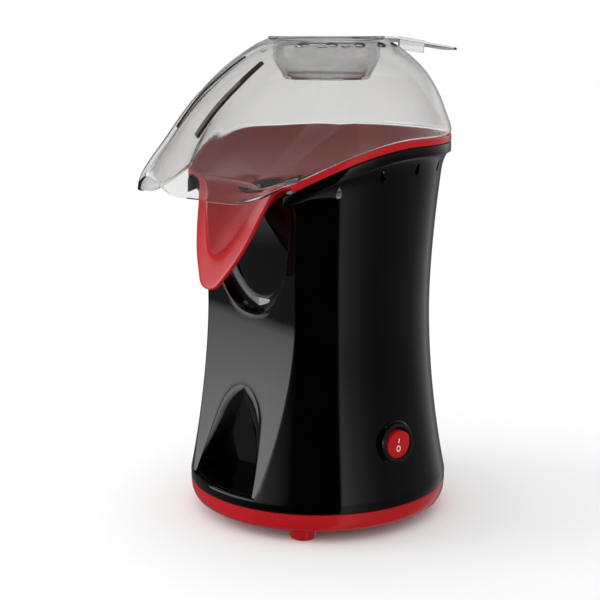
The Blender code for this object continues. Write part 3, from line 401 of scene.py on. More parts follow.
    @staticmethod
    def joined(first: bpy.types.Object, *others: bpy.types.Object) -> bpy.types.Object:
        """Join separate bodies of one piece into its first."""
        Bench.clear()
        for other in others:
            other.select_set(True)
        first.select_set(True)
        bpy.context.view_layer.objects.active = first
        bpy.ops.object.join()
        return first

    @staticmethod
    def copied(piece: bpy.types.Object, name: str, place: Matrix) -> bpy.types.Object:
        """Copy a piece with its own mesh, moved by a matrix."""
        Bench.pick(piece)
        bpy.ops.object.duplicate(linked=False)
        other = Bench.started(name)
        other.data.transform(place)
        return other

    @staticmethod
    def shade(piece: bpy.types.Object, angle: float = 32.0) -> None:
        """Shade smooth, with edges sharper than the angle kept crisp."""
        Bench.pick(piece)
        bpy.ops.object.shade_smooth_by_angle(angle=math.radians(angle))


# ---------------------------------------------------------------- effects shared by the finishes
class Effects:
    """Shader node groups, each built once and placed in the materials that use it."""

    @classmethod
    def group(cls, name: str, inputs: dict[str, float], outputs: Sequence[str]
              ) -> tuple[bpy.types.NodeTree, bpy.types.Node, bpy.types.Node, bpy.types.Node]:
        """Start a node group with named sockets.

        Args:
            name: the group's name.
            inputs: names and resting values of its inputs.
            outputs: names of its outputs.

        Returns:
            The group, its input and output nodes, and its texture coordinates.
        """
        tree = bpy.data.node_groups.new(name, "ShaderNodeTree")
        for label, value in inputs.items():
            socket = tree.interface.new_socket(name=label, in_out="INPUT", socket_type="NodeSocketFloat")
            socket.default_value = value
        for label in outputs:
            tree.interface.new_socket(name=label, in_out="OUTPUT", socket_type="NodeSocketFloat")
        return tree, cls.node(tree, "NodeGroupInput"), cls.node(tree, "NodeGroupOutput"), cls.node(
            tree, "TexCoord")

    @staticmethod
    def node(tree: bpy.types.NodeTree, kind: str, values: dict[str | int, object] | None = None,
             **settings: object) -> bpy.types.Node:
        """Add a node, set its properties and its unlinked inputs."""
        made = tree.nodes.new(kind if kind.startswith("NodeGroup") else "ShaderNode" + kind)
        for label, value in settings.items():
            setattr(made, label, value)
        for label, value in (values or {}).items():
            made.inputs[label].default_value = value
        return made

    @staticmethod
    def wire(tree: bpy.types.NodeTree,
             *wires: tuple[bpy.types.Node, str | int, bpy.types.Node, str | int]) -> None:
        """Link outputs to inputs, each given as (node, output, node, input)."""
        for source, output, target, entry in wires:
            tree.links.new(source.outputs[output], target.inputs[entry])

    @classmethod
    @cache
    def handling(cls) -> bpy.types.NodeTree:
        """Roughness that varies with faint smears and hair-fine rub marks."""
        resting = {"Roughness": 0.1, "Smears": 0.05, "Rub Marks": 0.1}
        tree, start, end, where = cls.group("handling_marks", resting, ["Roughness"])
        smears = cls.node(tree, "TexNoise", {"Scale": 26.0, "Detail": 3.0, "Roughness": 0.6})
        stretch = cls.node(tree, "Mapping", {"Scale": (1400.0, 900.0, 60.0), "Rotation": (0.3, 0.5, 0.2)})
        rubs = cls.node(tree, "TexNoise", {"Scale": 1.0, "Detail": 2.0})
        thin = cls.node(tree, "MapRange", {"From Min": 0.66, "From Max": 0.8})
        spread = cls.node(tree, "MapRange", {"From Min": 0.35, "From Max": 0.75})
        by_smear = cls.node(tree, "Math", operation="MULTIPLY")
        by_rub = cls.node(tree, "Math", operation="MULTIPLY")
        first = cls.node(tree, "Math", operation="ADD")
        total = cls.node(tree, "Math", operation="ADD", use_clamp=True)
        cls.wire(tree, (where, "Object", smears, "Vector"), (where, "Object", stretch, "Vector"),
                 (stretch, "Vector", rubs, "Vector"), (smears, "Fac", spread, "Value"),
                 (rubs, "Fac", thin, "Value"), (spread, "Result", by_smear, 0),
                 (start, "Smears", by_smear, 1), (thin, "Result", by_rub, 0),
                 (start, "Rub Marks", by_rub, 1), (by_smear, 0, first, 0), (by_rub, 0, first, 1),
                 (first, 0, total, 0), (start, "Roughness", total, 1), (total, 0, end, "Roughness"))
        return tree

    @classmethod
    @cache
    def skin(cls) -> bpy.types.NodeTree:
        """Height of a moulded skin: a slow flow ripple and a fine grain."""
        resting = {"Ripple": 0.2, "Grain": 0.2, "Grain Scale": 1500.0}
        tree, start, end, where = cls.group("moulded_skin", resting, ["Height", "Tone"])
        slow = cls.node(tree, "TexNoise", {"Scale": 34.0, "Detail": 1.0})
        fine = cls.node(tree, "TexNoise", {"Detail": 2.0, "Roughness": 0.55})
        by_slow = cls.node(tree, "Math", operation="MULTIPLY")
        by_fine = cls.node(tree, "Math", operation="MULTIPLY")
        total = cls.node(tree, "Math", operation="ADD")
        cls.wire(tree, (where, "Object", slow, "Vector"), (where, "Object", fine, "Vector"),
                 (start, "Grain Scale", fine, "Scale"), (slow, "Fac", by_slow, 0),
                 (start, "Ripple", by_slow, 1), (fine, "Fac", by_fine, 0),
                 (start, "Grain", by_fine, 1), (by_slow, 0, total, 0), (by_fine, 0, total, 1),
                 (total, 0, end, "Height"), (slow, "Fac", end, "Tone"))
        return tree

    @classmethod
    @cache
    def turning(cls) -> bpy.types.NodeTree:
        """Fine rings round the body's axis, as a spun or brushed metal shows."""
        tree, start, end, where = cls.group("spun_rings", {"Ring Scale": 2200.0}, ["Height", "Tone"])
        centre = cls.node(tree, "Mapping", {"Location": (0.0, -AXIS_Y, 0.0)})
        parts = cls.node(tree, "SeparateXYZ")
        flat = cls.node(tree, "CombineXYZ")
        length = cls.node(tree, "VectorMath", operation="LENGTH")
        pair = cls.node(tree, "CombineXYZ")
        rings = cls.node(tree, "TexNoise", {"Detail": 3.0})
        patches = cls.node(tree, "TexNoise", {"Scale": 45.0, "Detail": 3.0})
        cls.wire(tree, (where, "Object", centre, "Vector"), (centre, "Vector", parts, "Vector"),
                 (parts, "X", flat, "X"), (parts, "Y", flat, "Y"), (flat, "Vector", length, 0),
                 (length, "Value", pair, "X"), (parts, "Z", pair, "Y"),
                 (pair, "Vector", rings, "Vector"), (start, "Ring Scale", rings, "Scale"),
                 (where, "Object", patches, "Vector"), (rings, "Fac", end, "Height"),
                 (patches, "Fac", end, "Tone"))
        return tree


# ---------------------------------------------------------------- finishes
@dataclass(frozen=True)
class Finish:
    """A surface finish: a Principled shader fed by the shared effects."""

    name: str
    slot: Slot
    colour: tuple[float, float, float]
    roughness: float = 0.3
    metallic: float = 0.0
    ior: float = 1.5
    smears: float = 0.04
    rubs: float = 0.06
    ripple: float = 0.0
    grain: float = 0.2
    grain_scale: float = 1500.0
    relief: float = 0.00002
    tone: float = 0.12
    transmission: float = 0.0
    rings: bool = False
    shade_inside: float = 1.0
    slant_shade: float = 0.45

    def tones(self) -> tuple[tuple[float, ...], tuple[float, ...]]:
        """The darker and the lighter shade that the surface moves between."""
        low = tuple(c * (1 - self.tone) for c in self.colour)
        high = tuple(min(c * (1 + self.tone), 1.0) for c in self.colour)
        return (*low, 1.0), (*high, 1.0)

    def made(self) -> bpy.types.Material:
        """The material, made at its first use."""
        known = bpy.data.materials.get(self.name)
        if known:
            return known
        material = bpy.data.materials.new(self.name)
        material.use_nodes = True
        tree = material.node_tree
        shader = tree.nodes["Principled BSDF"]
        fixed = {"Metallic": self.metallic, "IOR": self.ior, "Transmission Weight": self.transmission}
        for label, value in fixed.items():
            shader.inputs[label].default_value = value
        low, high = self.tones()
        blend = Effects.node(tree, "Mix", data_type="RGBA")
        blend.inputs["A"].default_value = low
        blend.inputs["B"].default_value = high
        source = Effects.node(tree, "Group", node_tree=(
            Effects.turning() if self.rings else Effects.skin()))
        if self.rings:
            source.inputs["Ring Scale"].default_value = self.grain_scale
        else:
            source.inputs["Ripple"].default_value = self.ripple
            source.inputs["Grain"].default_value = self.grain
            source.inputs["Grain Scale"].default_value = self.grain_scale
        marks = Effects.node(tree, "Group", node_tree=Effects.handling())
        marks.inputs["Roughness"].default_value = self.roughness
        marks.inputs["Smears"].default_value = self.smears
        marks.inputs["Rub Marks"].default_value = self.rubs
        bump = Effects.node(tree, "Bump", {"Strength": 1.0, "Distance": self.relief})
        Effects.wire(tree, (source, "Tone", blend, "Factor"))
        tree.links.new(self.shaded(tree, blend.outputs["Result"]), shader.inputs["Base Color"])
        Effects.wire(tree, (marks, "Roughness", shader, "Roughness"), (source, "Height", bump, "Height"),
                     (bump, "Normal", shader, "Normal"))
        return material

    def shaded(self, tree: bpy.types.NodeTree, colour: bpy.types.NodeSocket) -> bpy.types.NodeSocket:
        """Deepen a clear finish where it is crossed at a slant, and dim the light it lets in."""
        if self.shade_inside == 1.0:
            return colour
        slant = Effects.node(tree, "LayerWeight", {"Blend": 0.5})
        deep = Effects.node(tree, "Mix", data_type="RGBA")
        deep.inputs["B"].default_value = (*(self.slant_shade * c for c in self.colour), 1.0)
        longer = Effects.node(tree, "Math", {1: 2.2}, operation="POWER")
        tree.links.new(slant.outputs["Facing"], longer.inputs[0])
        tree.links.new(longer.outputs[0], deep.inputs["Factor"])
        tree.links.new(colour, deep.inputs["A"])
        colour = deep.outputs["Result"]
        ray = Effects.node(tree, "LightPath")
        weak = Effects.node(tree, "Mix", data_type="RGBA")
        weak.inputs["B"].default_value = (*(self.shade_inside * c for c in self.colour), 1.0)
        tree.links.new(ray.outputs["Is Diffuse Ray"], weak.inputs["Factor"])
        tree.links.new(colour, weak.inputs["A"])
        return weak.outputs["Result"]

    def dress(self, piece: bpy.types.Object) -> bpy.types.Object:
        """Put the finish on a piece in place of whatever it wears."""
        piece.data.materials.clear()
        piece.data.materials.append(self.made())
        return piece


GLOSS_BLACK = Finish("deep_gloss_black", Slot.BLACK, (0.0010, 0.0010, 0.0011), 0.035, smears=0.015,
                     rubs=0.03, ripple=0.35, grain=0.01, grain_scale=900.0, relief=0.00004, tone=0.3)
GLOSS_RED = Finish("gloss_red", Slot.RED, (0.40, 0.006, 0.010), 0.16, smears=0.05, rubs=0.05, ripple=0.25,
                   grain=0.02, relief=0.00004, tone=0.06)
SMOKE = Finish("smoke_clear", Slot.SMOKE, (0.83, 0.83, 0.825), 0.02, ior=1.42, smears=0.03, rubs=0.04,
               ripple=0.4, grain=0.0, relief=0.00005, tone=0.02, transmission=1.0, shade_inside=0.35)
# Cut faces of the hood's slots and vents: the same smoked plastic, given a dark grey, half-opaque colour as
# painted shade for the dark look of those edges.
SHADED_CUT_EDGE = Finish("cut_edge_painted_shade", Slot.SMOKE, (0.08, 0.08, 0.08), 0.1, ior=1.42, ripple=0.1, tone=0.1,
                  transmission=0.5)
CLEAR = Finish("grey_clear", Slot.CLEAR, (0.76, 0.76, 0.76), 0.03, ior=1.42, smears=0.03, rubs=0.05,
               ripple=0.4, grain=0.0, relief=0.00005, tone=0.03, transmission=1.0, shade_inside=0.6)
SATIN_BLACK = Finish("satin_black", Slot.BLACK, (0.006, 0.006, 0.007), 0.22, smears=0.05, rubs=0.05,
                     ripple=0.1, grain=0.2, grain_scale=2600.0, relief=0.00003, tone=0.2)
SOFT_RUBBER = Finish("soft_rubber", Slot.RUBBER, (0.018, 0.018, 0.019), 0.62, smears=0.12, rubs=0.1,
                     grain=1.0, grain_scale=3200.0, relief=0.00006, tone=0.2)
NYLON = Finish("grained_nylon", Slot.NYLON, (0.045, 0.045, 0.047), 0.48, smears=0.12, rubs=0.1, grain=1.0,
               grain_scale=2600.0, relief=0.00005, tone=0.15)
STEEL = Finish("drawn_steel", Slot.STEEL, (0.52, 0.52, 0.53), 0.3, 1.0, smears=0.12, rubs=0.2, grain=1.0,
               grain_scale=1800.0, relief=0.00002, tone=0.08, rings=True)
BRASS = Finish("plain_brass", Slot.BRASS, (0.70, 0.50, 0.21), 0.28, 1.0, smears=0.12, rubs=0.15, grain=0.6,
               relief=0.00002, tone=0.1)
SPUN_ALUMINIUM = Finish("spun_aluminium", Slot.ALUMINIUM, (0.74, 0.74, 0.75), 0.24, 1.0, smears=0.1,
                        rubs=0.2, grain_scale=2400.0, relief=0.00004, tone=0.06, rings=True)
NICHROME = Finish("heat_tinted_wire", Slot.NICHROME, (0.33, 0.29, 0.27), 0.42, 1.0, smears=0.15, rubs=0.1,
                  grain=0.8, relief=0.00003, tone=0.25)
MICA = Finish("pressed_mica", Slot.MICA, (0.43, 0.35, 0.25), 0.5, smears=0.15, rubs=0.1, ripple=0.5,
              grain=0.8, grain_scale=700.0, relief=0.00006, tone=0.22)
BOARD = Finish("brown_laminate", Slot.BOARD, (0.26, 0.16, 0.065), 0.45, smears=0.1, rubs=0.1, grain=0.5,
               grain_scale=1200.0, relief=0.00002, tone=0.15)
RED_WIRE = Finish("red_wire_sleeve", Slot.RED_WIRE, (0.45, 0.03, 0.03), 0.4, grain=0.5, tone=0.1)
BLUE_WIRE = Finish("blue_wire_sleeve", Slot.BLUE_WIRE, (0.03, 0.09, 0.38), 0.4, grain=0.5, tone=0.1)
PAINT_WHITE = Finish("symbol_paint", Slot.RED, (0.85, 0.62, 0.62), 0.4, grain=0.3, tone=0.05)


# ---------------------------------------------------------------- what every sub-assembly does
@dataclass
class SubAssembly:
    """Pieces that are built, dressed and seated together."""

    made: list[str] = field(default_factory=list)

    def seat(self, piece: bpy.types.Object, body: Body, finish: Finish | None, *nodes: str,
             crisp: float = 32.0) -> bpy.types.Object:
        """Shade, dress and seat a finished piece.

        Args:
            piece: the piece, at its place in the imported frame.
            body: the rigid body it moves with.
            finish: its surface finish, or none for the hood, which is dressed while it is cut.
            nodes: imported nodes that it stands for.
            crisp: edges sharper than this many degrees stay crisp.

        Returns:
            The piece.
        """
        Bench.shade(piece, crisp)
        if finish:
            finish.dress(piece)
        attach(piece, body.value)
        if nodes:
            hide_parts(*nodes)
        self.made.append(piece.name)
        return piece

    def build(self) -> None:
        """Make the pieces; each sub-assembly has its own."""
        raise NotImplementedError


# ---------------------------------------------------------------- housing
@dataclass
class Housing(SubAssembly):
    """The black waisted shell with its flange, vents and openings."""

    columns: int = 232
    settling: int = 5                # rounds in which a column's angle and its opening's edge agree
    flare_out: float = 0.0022
    flare_power: float = 2.5
    flare_step: float = 0.0008
    body_rows: int = 30
    flare_rows: int = 7
    sill_rows: int = 4
    sill_columns: int = 44
    vents: int = 13
    vent_step: float = math.radians(19.8)
    vent_drop: float = 0.0072
    switch_z: float = 0.057
    switch_pad_r: float = 0.0136
    switch_neck_r: float = 0.0108
    inlet_z: float = 0.034
    inlet_r: float = 0.0052

    def opening_angle(self, radius: float, z: float) -> float:
        """Angle from the front to the opening's edge."""
        return math.asin(min(FORM.face_half(z) / radius, 1.0))

    def wall_point(self, column: int, row: int) -> Vector:
        """Outer skin from one edge of the opening round the back to the other."""
        share = column / self.columns
        low, top = FORM.face_bottom, self.sill_rows + self.body_rows
        angle = math.pi * (0.15 + 1.7 * share)
        radius, z = FORM.band_r, low
        for _ in range(self.settling):
            bottom = FORM.flange(angle)
            neck = bottom - FORM.flare_h
            if row <= self.sill_rows:
                z = FORM.band_z + (low - FORM.band_z) * row / self.sill_rows
                radius = FORM.radius(z)
            elif row <= top:
                z = low + (neck - low) * (row - self.sill_rows) / self.body_rows
                radius = FORM.radius(z)
            elif row <= top + self.flare_rows:
                rise = (row - top) / self.flare_rows
                z = neck + (FORM.flare_h - self.flare_step) * rise
                radius = FORM.radius(z) + self.flare_out * rise ** self.flare_power
            else:
                step = row - top - self.flare_rows
                radius = FORM.rim_r
                z = bottom + (0.0, FORM.flange_h)[step - 1]
            edge = self.opening_angle(radius, z)
            angle = edge + share * 2 * (math.pi - edge)
        return around(radius, angle, z)

    def sill_point(self, column: int, row: int) -> Vector:
        """Outer skin of the band below the opening."""
        z = FORM.band_z + (FORM.face_bottom - FORM.band_z) * row / self.sill_rows
        edge = self.opening_angle(FORM.radius(z), z)
        return around(FORM.radius(z), edge * (2 * column / self.sill_columns - 1), z)

    def vent_cutters(self) -> bpy.types.Object:
        """Drop-shaped cutters, modelled once and copied round the neck."""
        upright = Matrix.Rotation(math.radians(90), 4, "X")
        first = Bench.rod("vent_cutter", 0.0017, 0.03, Matrix(), 20)
        Bench.pick(first)
        bpy.ops.object.mode_set(mode="EDIT")
        bpy.ops.mesh.select_all(action="SELECT")
        bpy.ops.transform.resize(value=(1.0, 2.1, 1.0), center_override=(0, 0, 0))
        bpy.ops.object.mode_set(mode="OBJECT")
        for vertex in first.data.vertices:
            vertex.co.x *= 1.0 - 0.35 * vertex.co.y / 0.0031
        copies = []
        for k in range(self.vents):
            angle = math.pi + self.vent_step * (k - (self.vents - 1) / 2)
            height = FORM.flange(angle) - self.vent_drop
            place = (spin_about_axis(angle) @ Matrix.Translation((0, -FORM.waist_r, height)) @ upright)
            copies.append(Bench.copied(first, f"vent_cutter_{k}", place))
        bpy.data.objects.remove(first, do_unlink=True)
        return Bench.joined(*copies)

    def build(self) -> None:
        """Lay the skin, wall it, round its edges and cut its openings."""
        rows = self.sill_rows + self.body_rows + self.flare_rows + 2
        skin = Bench.sheet("body_shell", self.columns, rows, self.wall_point)
        sill = Bench.sheet("front_sill", self.sill_columns, self.sill_rows, self.sill_point)
        shell = Bench.joined(skin, sill)
        Bench.mend(shell, outward=False)
        Bench.thicken(shell, FORM.wall)
        Bench.round_edges(shell, 0.00045, 3, 38.0)
        seat = switch_seat(self.switch_z)
        pad = Bench.turned("switch_pad", [(0, 0.0011), (self.switch_pad_r - 0.0006, 0.0011),
                                          (self.switch_pad_r, 0.0005), (self.switch_pad_r, -0.0030),
                                          (0, -0.0030)], 72, seat)
        Bench.carve(shell, [pad], "UNION")
        inlet = inlet_seat(self.inlet_z)
        Bench.carve(shell, [self.vent_cutters(),
                            Bench.rod("switch_cutter", self.switch_neck_r + GAP, 0.04, seat, 64),
                            Bench.rod("inlet_cutter", self.inlet_r + GAP, 0.02, inlet, 48)])
        self.seat(shell, Body.HOUSING, GLOSS_BLACK, "housing_shell")


def switch_seat(z: float) -> Matrix:
    """Seat on the wall at the +X side, its Z pointing out of the wall and its X down."""
    return (Matrix.Translation((FORM.radius(z), AXIS_Y, z))
            @ Matrix.Rotation(math.radians(90) - FORM.slope(z), 4, "Y"))


def inlet_seat(z: float) -> Matrix:
    """Seat on the wall at the back, its Z pointing out of the wall."""
    return (Matrix.Translation((0, AXIS_Y + FORM.radius(z), z))
            @ Matrix.Rotation(-math.radians(90) + FORM.slope(z), 4, "X"))


@dataclass
class FrontPanel(SubAssembly):
    """The flat front with the scoop under the spout and the arched niche at its foot.

    Each recess is laid as a fan: every column runs from the panel's edge over the recess's
    outline to a centre, so that the rings follow the outline.
    """

    split_z: float = 0.112
    top_z: float = 0.2064
    edge_columns: int = 66
    split_columns: int = 44
    flat_rings: int = 8
    fillet_rings: int = 5
    inner_rings: int = 18
    ring_crowding: float = 1.7
    fillet_fade: float = 0.004
    thickness: float = 0.0013
    halvings: int = 26
    scoop_half: float = 0.042
    scoop_bottom: float = 0.1315
    scoop_full: float = 0.200
    scoop_depth: float = 0.0085
    scoop_wall: float = 0.0085
    scoop_fillet: float = 0.0016
    niche_back: float = 0.0578
    niche_slant: float = 0.2         # how much of the side wall is a straight slant, the rest is round
    niche_fillet: float = 0.0003
    crease_top: float = 0.082
    crease_foot: float = 0.0300
    niche_edge: Profile = ((0.0253, 0.0308), (0.0360, 0.0292), (0.0460, 0.0272), (0.0560, 0.0250),
                           (0.0655, 0.0225), (0.0733, 0.0193), (0.0795, 0.0146), (0.0838, 0.0088),
                           (0.0856, 0.0040), (0.0862, 0.0))

    def border(self, column: int, upper: bool) -> tuple[float, float]:
        """Point (x, z) of the panel's edge, or of the line where the two fans meet."""
        start = self.top_z if upper else FORM.face_bottom + GAP
        last = 2 * self.edge_columns + self.split_columns
        side = -1.0
        if column > last - self.edge_columns:
            side, column = 1.0, last - column
        if column <= self.edge_columns:
            z = start + (self.split_z - start) * column / self.edge_columns
            return side * (FORM.face_half(z) - GAP), z
        across = 2 * (column - self.edge_columns) / self.split_columns - 1
        return across * (FORM.face_half(self.split_z) - GAP), self.split_z

    def inside_scoop(self, x: float, z: float) -> bool:
        """Whether a point of the panel lies in the scoop's outline."""
        share = min(max((self.scoop_full - z) / (self.scoop_full - self.scoop_bottom), 0.0), 1.0)
        return z > self.scoop_bottom and abs(x) < self.scoop_half * (1 - share ** 2.2) ** (1 / 2.2)

    def inside_niche(self, x: float, z: float) -> bool:
        """Whether a point of the panel lies in the niche's outline."""
        return z < self.niche_edge[-1][0] and abs(x) < smooth(self.niche_edge, z)

    def crossing(self, centre: Vector, edge: Vector, inside: Callable[[float, float], bool]) -> float:
        """Share of the way from the centre to the edge at which a ray leaves an outline."""
        low, high = 0.0, 1.0
        for _ in range(self.halvings):
            middle = (low + high) / 2
            spot = centre.lerp(edge, middle)
            if inside(spot.x, spot.y):
                low = middle
            else:
                high = middle
        return low

    def crease(self, z: float) -> float:
        """Half width of the niche's flat back at height z."""
        foot = FORM.face_bottom
        return max(self.crease_foot * (self.crease_top - z) / (self.crease_top - foot), 0.0)

    def fan_point(self, column: int, ring: int, upper: bool) -> Vector:
        """Point of a fan: flat panel, rounded edge, then the recess."""
        centre = Vector((0.0, self.top_z if upper else FORM.face_bottom + GAP))
        edge = Vector(self.border(column, upper))
        inside = self.inside_scoop if upper else self.inside_niche
        fillet = self.scoop_fillet if upper else self.niche_fillet
        reach = (edge - centre).length
        outline = self.crossing(centre, edge, inside) * reach
        ray = (edge - centre) / reach
        first = self.flat_rings + self.fillet_rings
        if ring <= self.flat_rings:
            away = reach + (outline + fillet - reach) * ring / self.flat_rings
            spot, sunk = centre + ray * away, 0.0
        elif ring <= first:
            turn = math.pi / 2 * (ring - self.flat_rings) / self.fillet_rings
            away = outline + fillet * (1 - math.sin(turn))
            spot, sunk = centre + ray * away, fillet * (1 - math.cos(turn))
        else:
            away = outline * (1 - ((ring - first) / self.inner_rings) ** self.ring_crowding)
            spot = centre + ray * away
            sunk = (self.scoop_sink(outline - away) if upper
                    else self.niche_sink(spot, centre, ray, outline, away))
            sunk += fillet * (1 - ease((outline - away) / self.fillet_fade))
        return from_axis(spot.x, sunk - FORM.face(spot.y), spot.y)

    def scoop_sink(self, run: float) -> float:
        """Depth of the scoop at a run inside its outline: a rounded wall and an even floor."""
        wall = 1 - min(run / self.scoop_wall, 1.0)
        return self.scoop_depth * math.sqrt(max(1 - wall * wall, 0.0))

    def niche_sink(self, spot: Vector, centre: Vector, ray: Vector, outline: float, away: float) -> float:
        """Depth of the niche: rounded side walls that meet an upright back in a crease.

        Args:
            spot: the point (x, z) on the panel.
            centre: where the fan's columns meet.
            ray: direction of the column from the centre.
            outline: run from the centre to the niche's outline.
            away: run from the centre to the point.

        Returns:
            How far the surface lies behind the panel there.
        """
        def behind(x: float, z: float) -> bool:
            """Whether a point lies over the niche's flat back."""
            return abs(x) < self.crease(z)

        bend = self.crossing(centre, centre + ray * outline, behind) * outline
        back = FORM.face(spot.y) - self.niche_back
        if away <= bend:
            return max(back, 0.0)
        corner = centre + ray * bend
        share = (outline - away) / max(outline - bend, 1e-6)
        depth = max(FORM.face(corner.y) - self.niche_back, 0.0)
        arc = 1 - math.sqrt(max(1 - share * share, 0.0))
        return depth * (self.niche_slant * share + (1 - self.niche_slant) * arc)

    def shelf(self) -> bpy.types.Object:
        """Ledge that closes the niche's foot against the band."""
        columns = 40
        front = FORM.band_r - FORM.wall - GAP
        high, low = FORM.face_bottom + 0.0012, FORM.face_bottom - 0.0006

        def place(column: int, row: int) -> Vector:
            """Section of the ledge, from its back over its front edge and back below."""
            x = (FORM.face_half(FORM.face_bottom) - 0.002) * (2 * column / columns - 1)
            ahead = math.sqrt(front ** 2 - x * x)
            depth = (self.niche_back - 0.0006, ahead, ahead, self.niche_back - 0.0006)[row % 4]
            return from_axis(x, -depth, (high, high, low, low)[row % 4])

        ledge = Bench.sheet("niche_ledge", columns, 4, place)
        Bench.pick(ledge)
        bpy.ops.object.mode_set(mode="EDIT")
        bpy.ops.mesh.select_all(action="DESELECT")
        bpy.ops.mesh.select_non_manifold()
        bpy.ops.mesh.edge_face_add()
        bpy.ops.object.mode_set(mode="OBJECT")
        Bench.mend(ledge)
        return ledge

    def build(self) -> None:
        """Lay the two fans, weld them and give them a wall."""
        columns = 2 * self.edge_columns + self.split_columns
        rings = self.flat_rings + self.fillet_rings + self.inner_rings
        upper = Bench.sheet("front_face", columns, rings, lambda i, j: self.fan_point(i, j, True))
        lower = Bench.sheet("front_foot", columns, rings, lambda i, j: self.fan_point(i, j, False),
                            flip=True)
        panel = Bench.joined(upper, lower)
        Bench.mend(panel, outward=False)
        Bench.thicken(panel, self.thickness, even=False)
        self.seat(panel, Body.HOUSING, GLOSS_BLACK, "front_panel", crisp=24.0)
        self.seat(self.shelf(), Body.HOUSING, GLOSS_BLACK, "front_panel")


# ---------------------------------------------------------------- base
@dataclass
class Base(SubAssembly):
    """The red base tray with its intake slots, and the round feet."""

    floor_z: float = 0.007
    floor_t: float = 0.0026
    spigot_top: float = 0.0222
    spigot_play: float = 0.0012
    slots: int = 14
    foot_r: float = 0.008
    foot_ring: float = 0.069
    foot_angles: tuple[float, ...] = (45.0, 135.0, 225.0, 315.0)
    screw_ring: float = 0.0725
    screw_angles: tuple[float, ...] = (70.0, 160.0, 200.0, 290.0)

    def tray(self) -> bpy.types.Object:
        """The turned tray with its slots and holes."""
        top = self.floor_z + self.floor_t
        spigot = FORM.band_r - FORM.wall - self.spigot_play
        seam = FORM.band_z - GAP
        profile = [(0, top), (spigot - 0.0034, top), (spigot - 0.0024, top + 0.001),
                   (spigot - 0.0024, self.spigot_top), (spigot - 0.0004, self.spigot_top),
                   (spigot, self.spigot_top - 0.0004), (spigot, seam), (FORM.band_r - 0.0004, seam),
                   (FORM.band_r, seam - 0.0004), (FORM.band_r - 0.0001, 0.0160),
                   (FORM.band_r - 0.0005, 0.0125), (FORM.band_r - 0.0013, 0.0100),
                   (FORM.band_r - 0.0024, 0.0082), (FORM.band_r - 0.0036, 0.0073),
                   (FORM.band_r - 0.0050, self.floor_z), (0, self.floor_z)]
        tray = Bench.turned("base_ring", profile, 160)
        slot = Bench.block("slot_cutter", (0.0034, 0.026, 0.008), Matrix(), 0.0009)
        cutters = [Bench.copied(slot, f"slot_cutter_{k}", spin_about_axis(2 * math.pi * k / self.slots)
                                @ Matrix.Translation((0, -0.025, top))) for k in range(self.slots)]
        bpy.data.objects.remove(slot, do_unlink=True)
        for ring, angles, radius in ((self.foot_ring, self.foot_angles, self.foot_r / 2 + GAP),
                                     (self.screw_ring, self.screw_angles, 0.0018)):
            cutters += [Bench.rod(f"hole_cutter_{ring}_{a}", radius, 0.008,
                                  Matrix.Translation(around(ring, math.radians(a), top)), 32)
                        for a in angles]
        Bench.carve(tray, [Bench.joined(*cutters)])
        return tray

    def foot(self, number: int, angle: float) -> None:
        """A turned foot whose stem stands in the tray."""
        top = self.floor_z - GAP
        stem = self.foot_r / 2
        profile = [(0, top + 0.0036), (stem - 0.0005, top + 0.0036), (stem, top + 0.0031), (stem, top),
                   (self.foot_r - 0.0003, top), (self.foot_r, top - 0.0003), (self.foot_r, 0.0012),
                   (self.foot_r - 0.0003, 0.0005), (self.foot_r - 0.0009, 0.0), (0, 0.0)]
        place = Matrix.Translation(around(self.foot_ring, math.radians(angle)))
        piece = Bench.turned(f"round_foot_{number}", profile, 56, place)
        self.seat(piece, Body.HOUSING, GLOSS_RED, f"foot_{number}")

    def build(self) -> None:
        """Tray, then the feet."""
        self.seat(self.tray(), Body.HOUSING, GLOSS_RED, "base_tray")
        for number, angle in enumerate(self.foot_angles, 1):
            self.foot(number, angle)


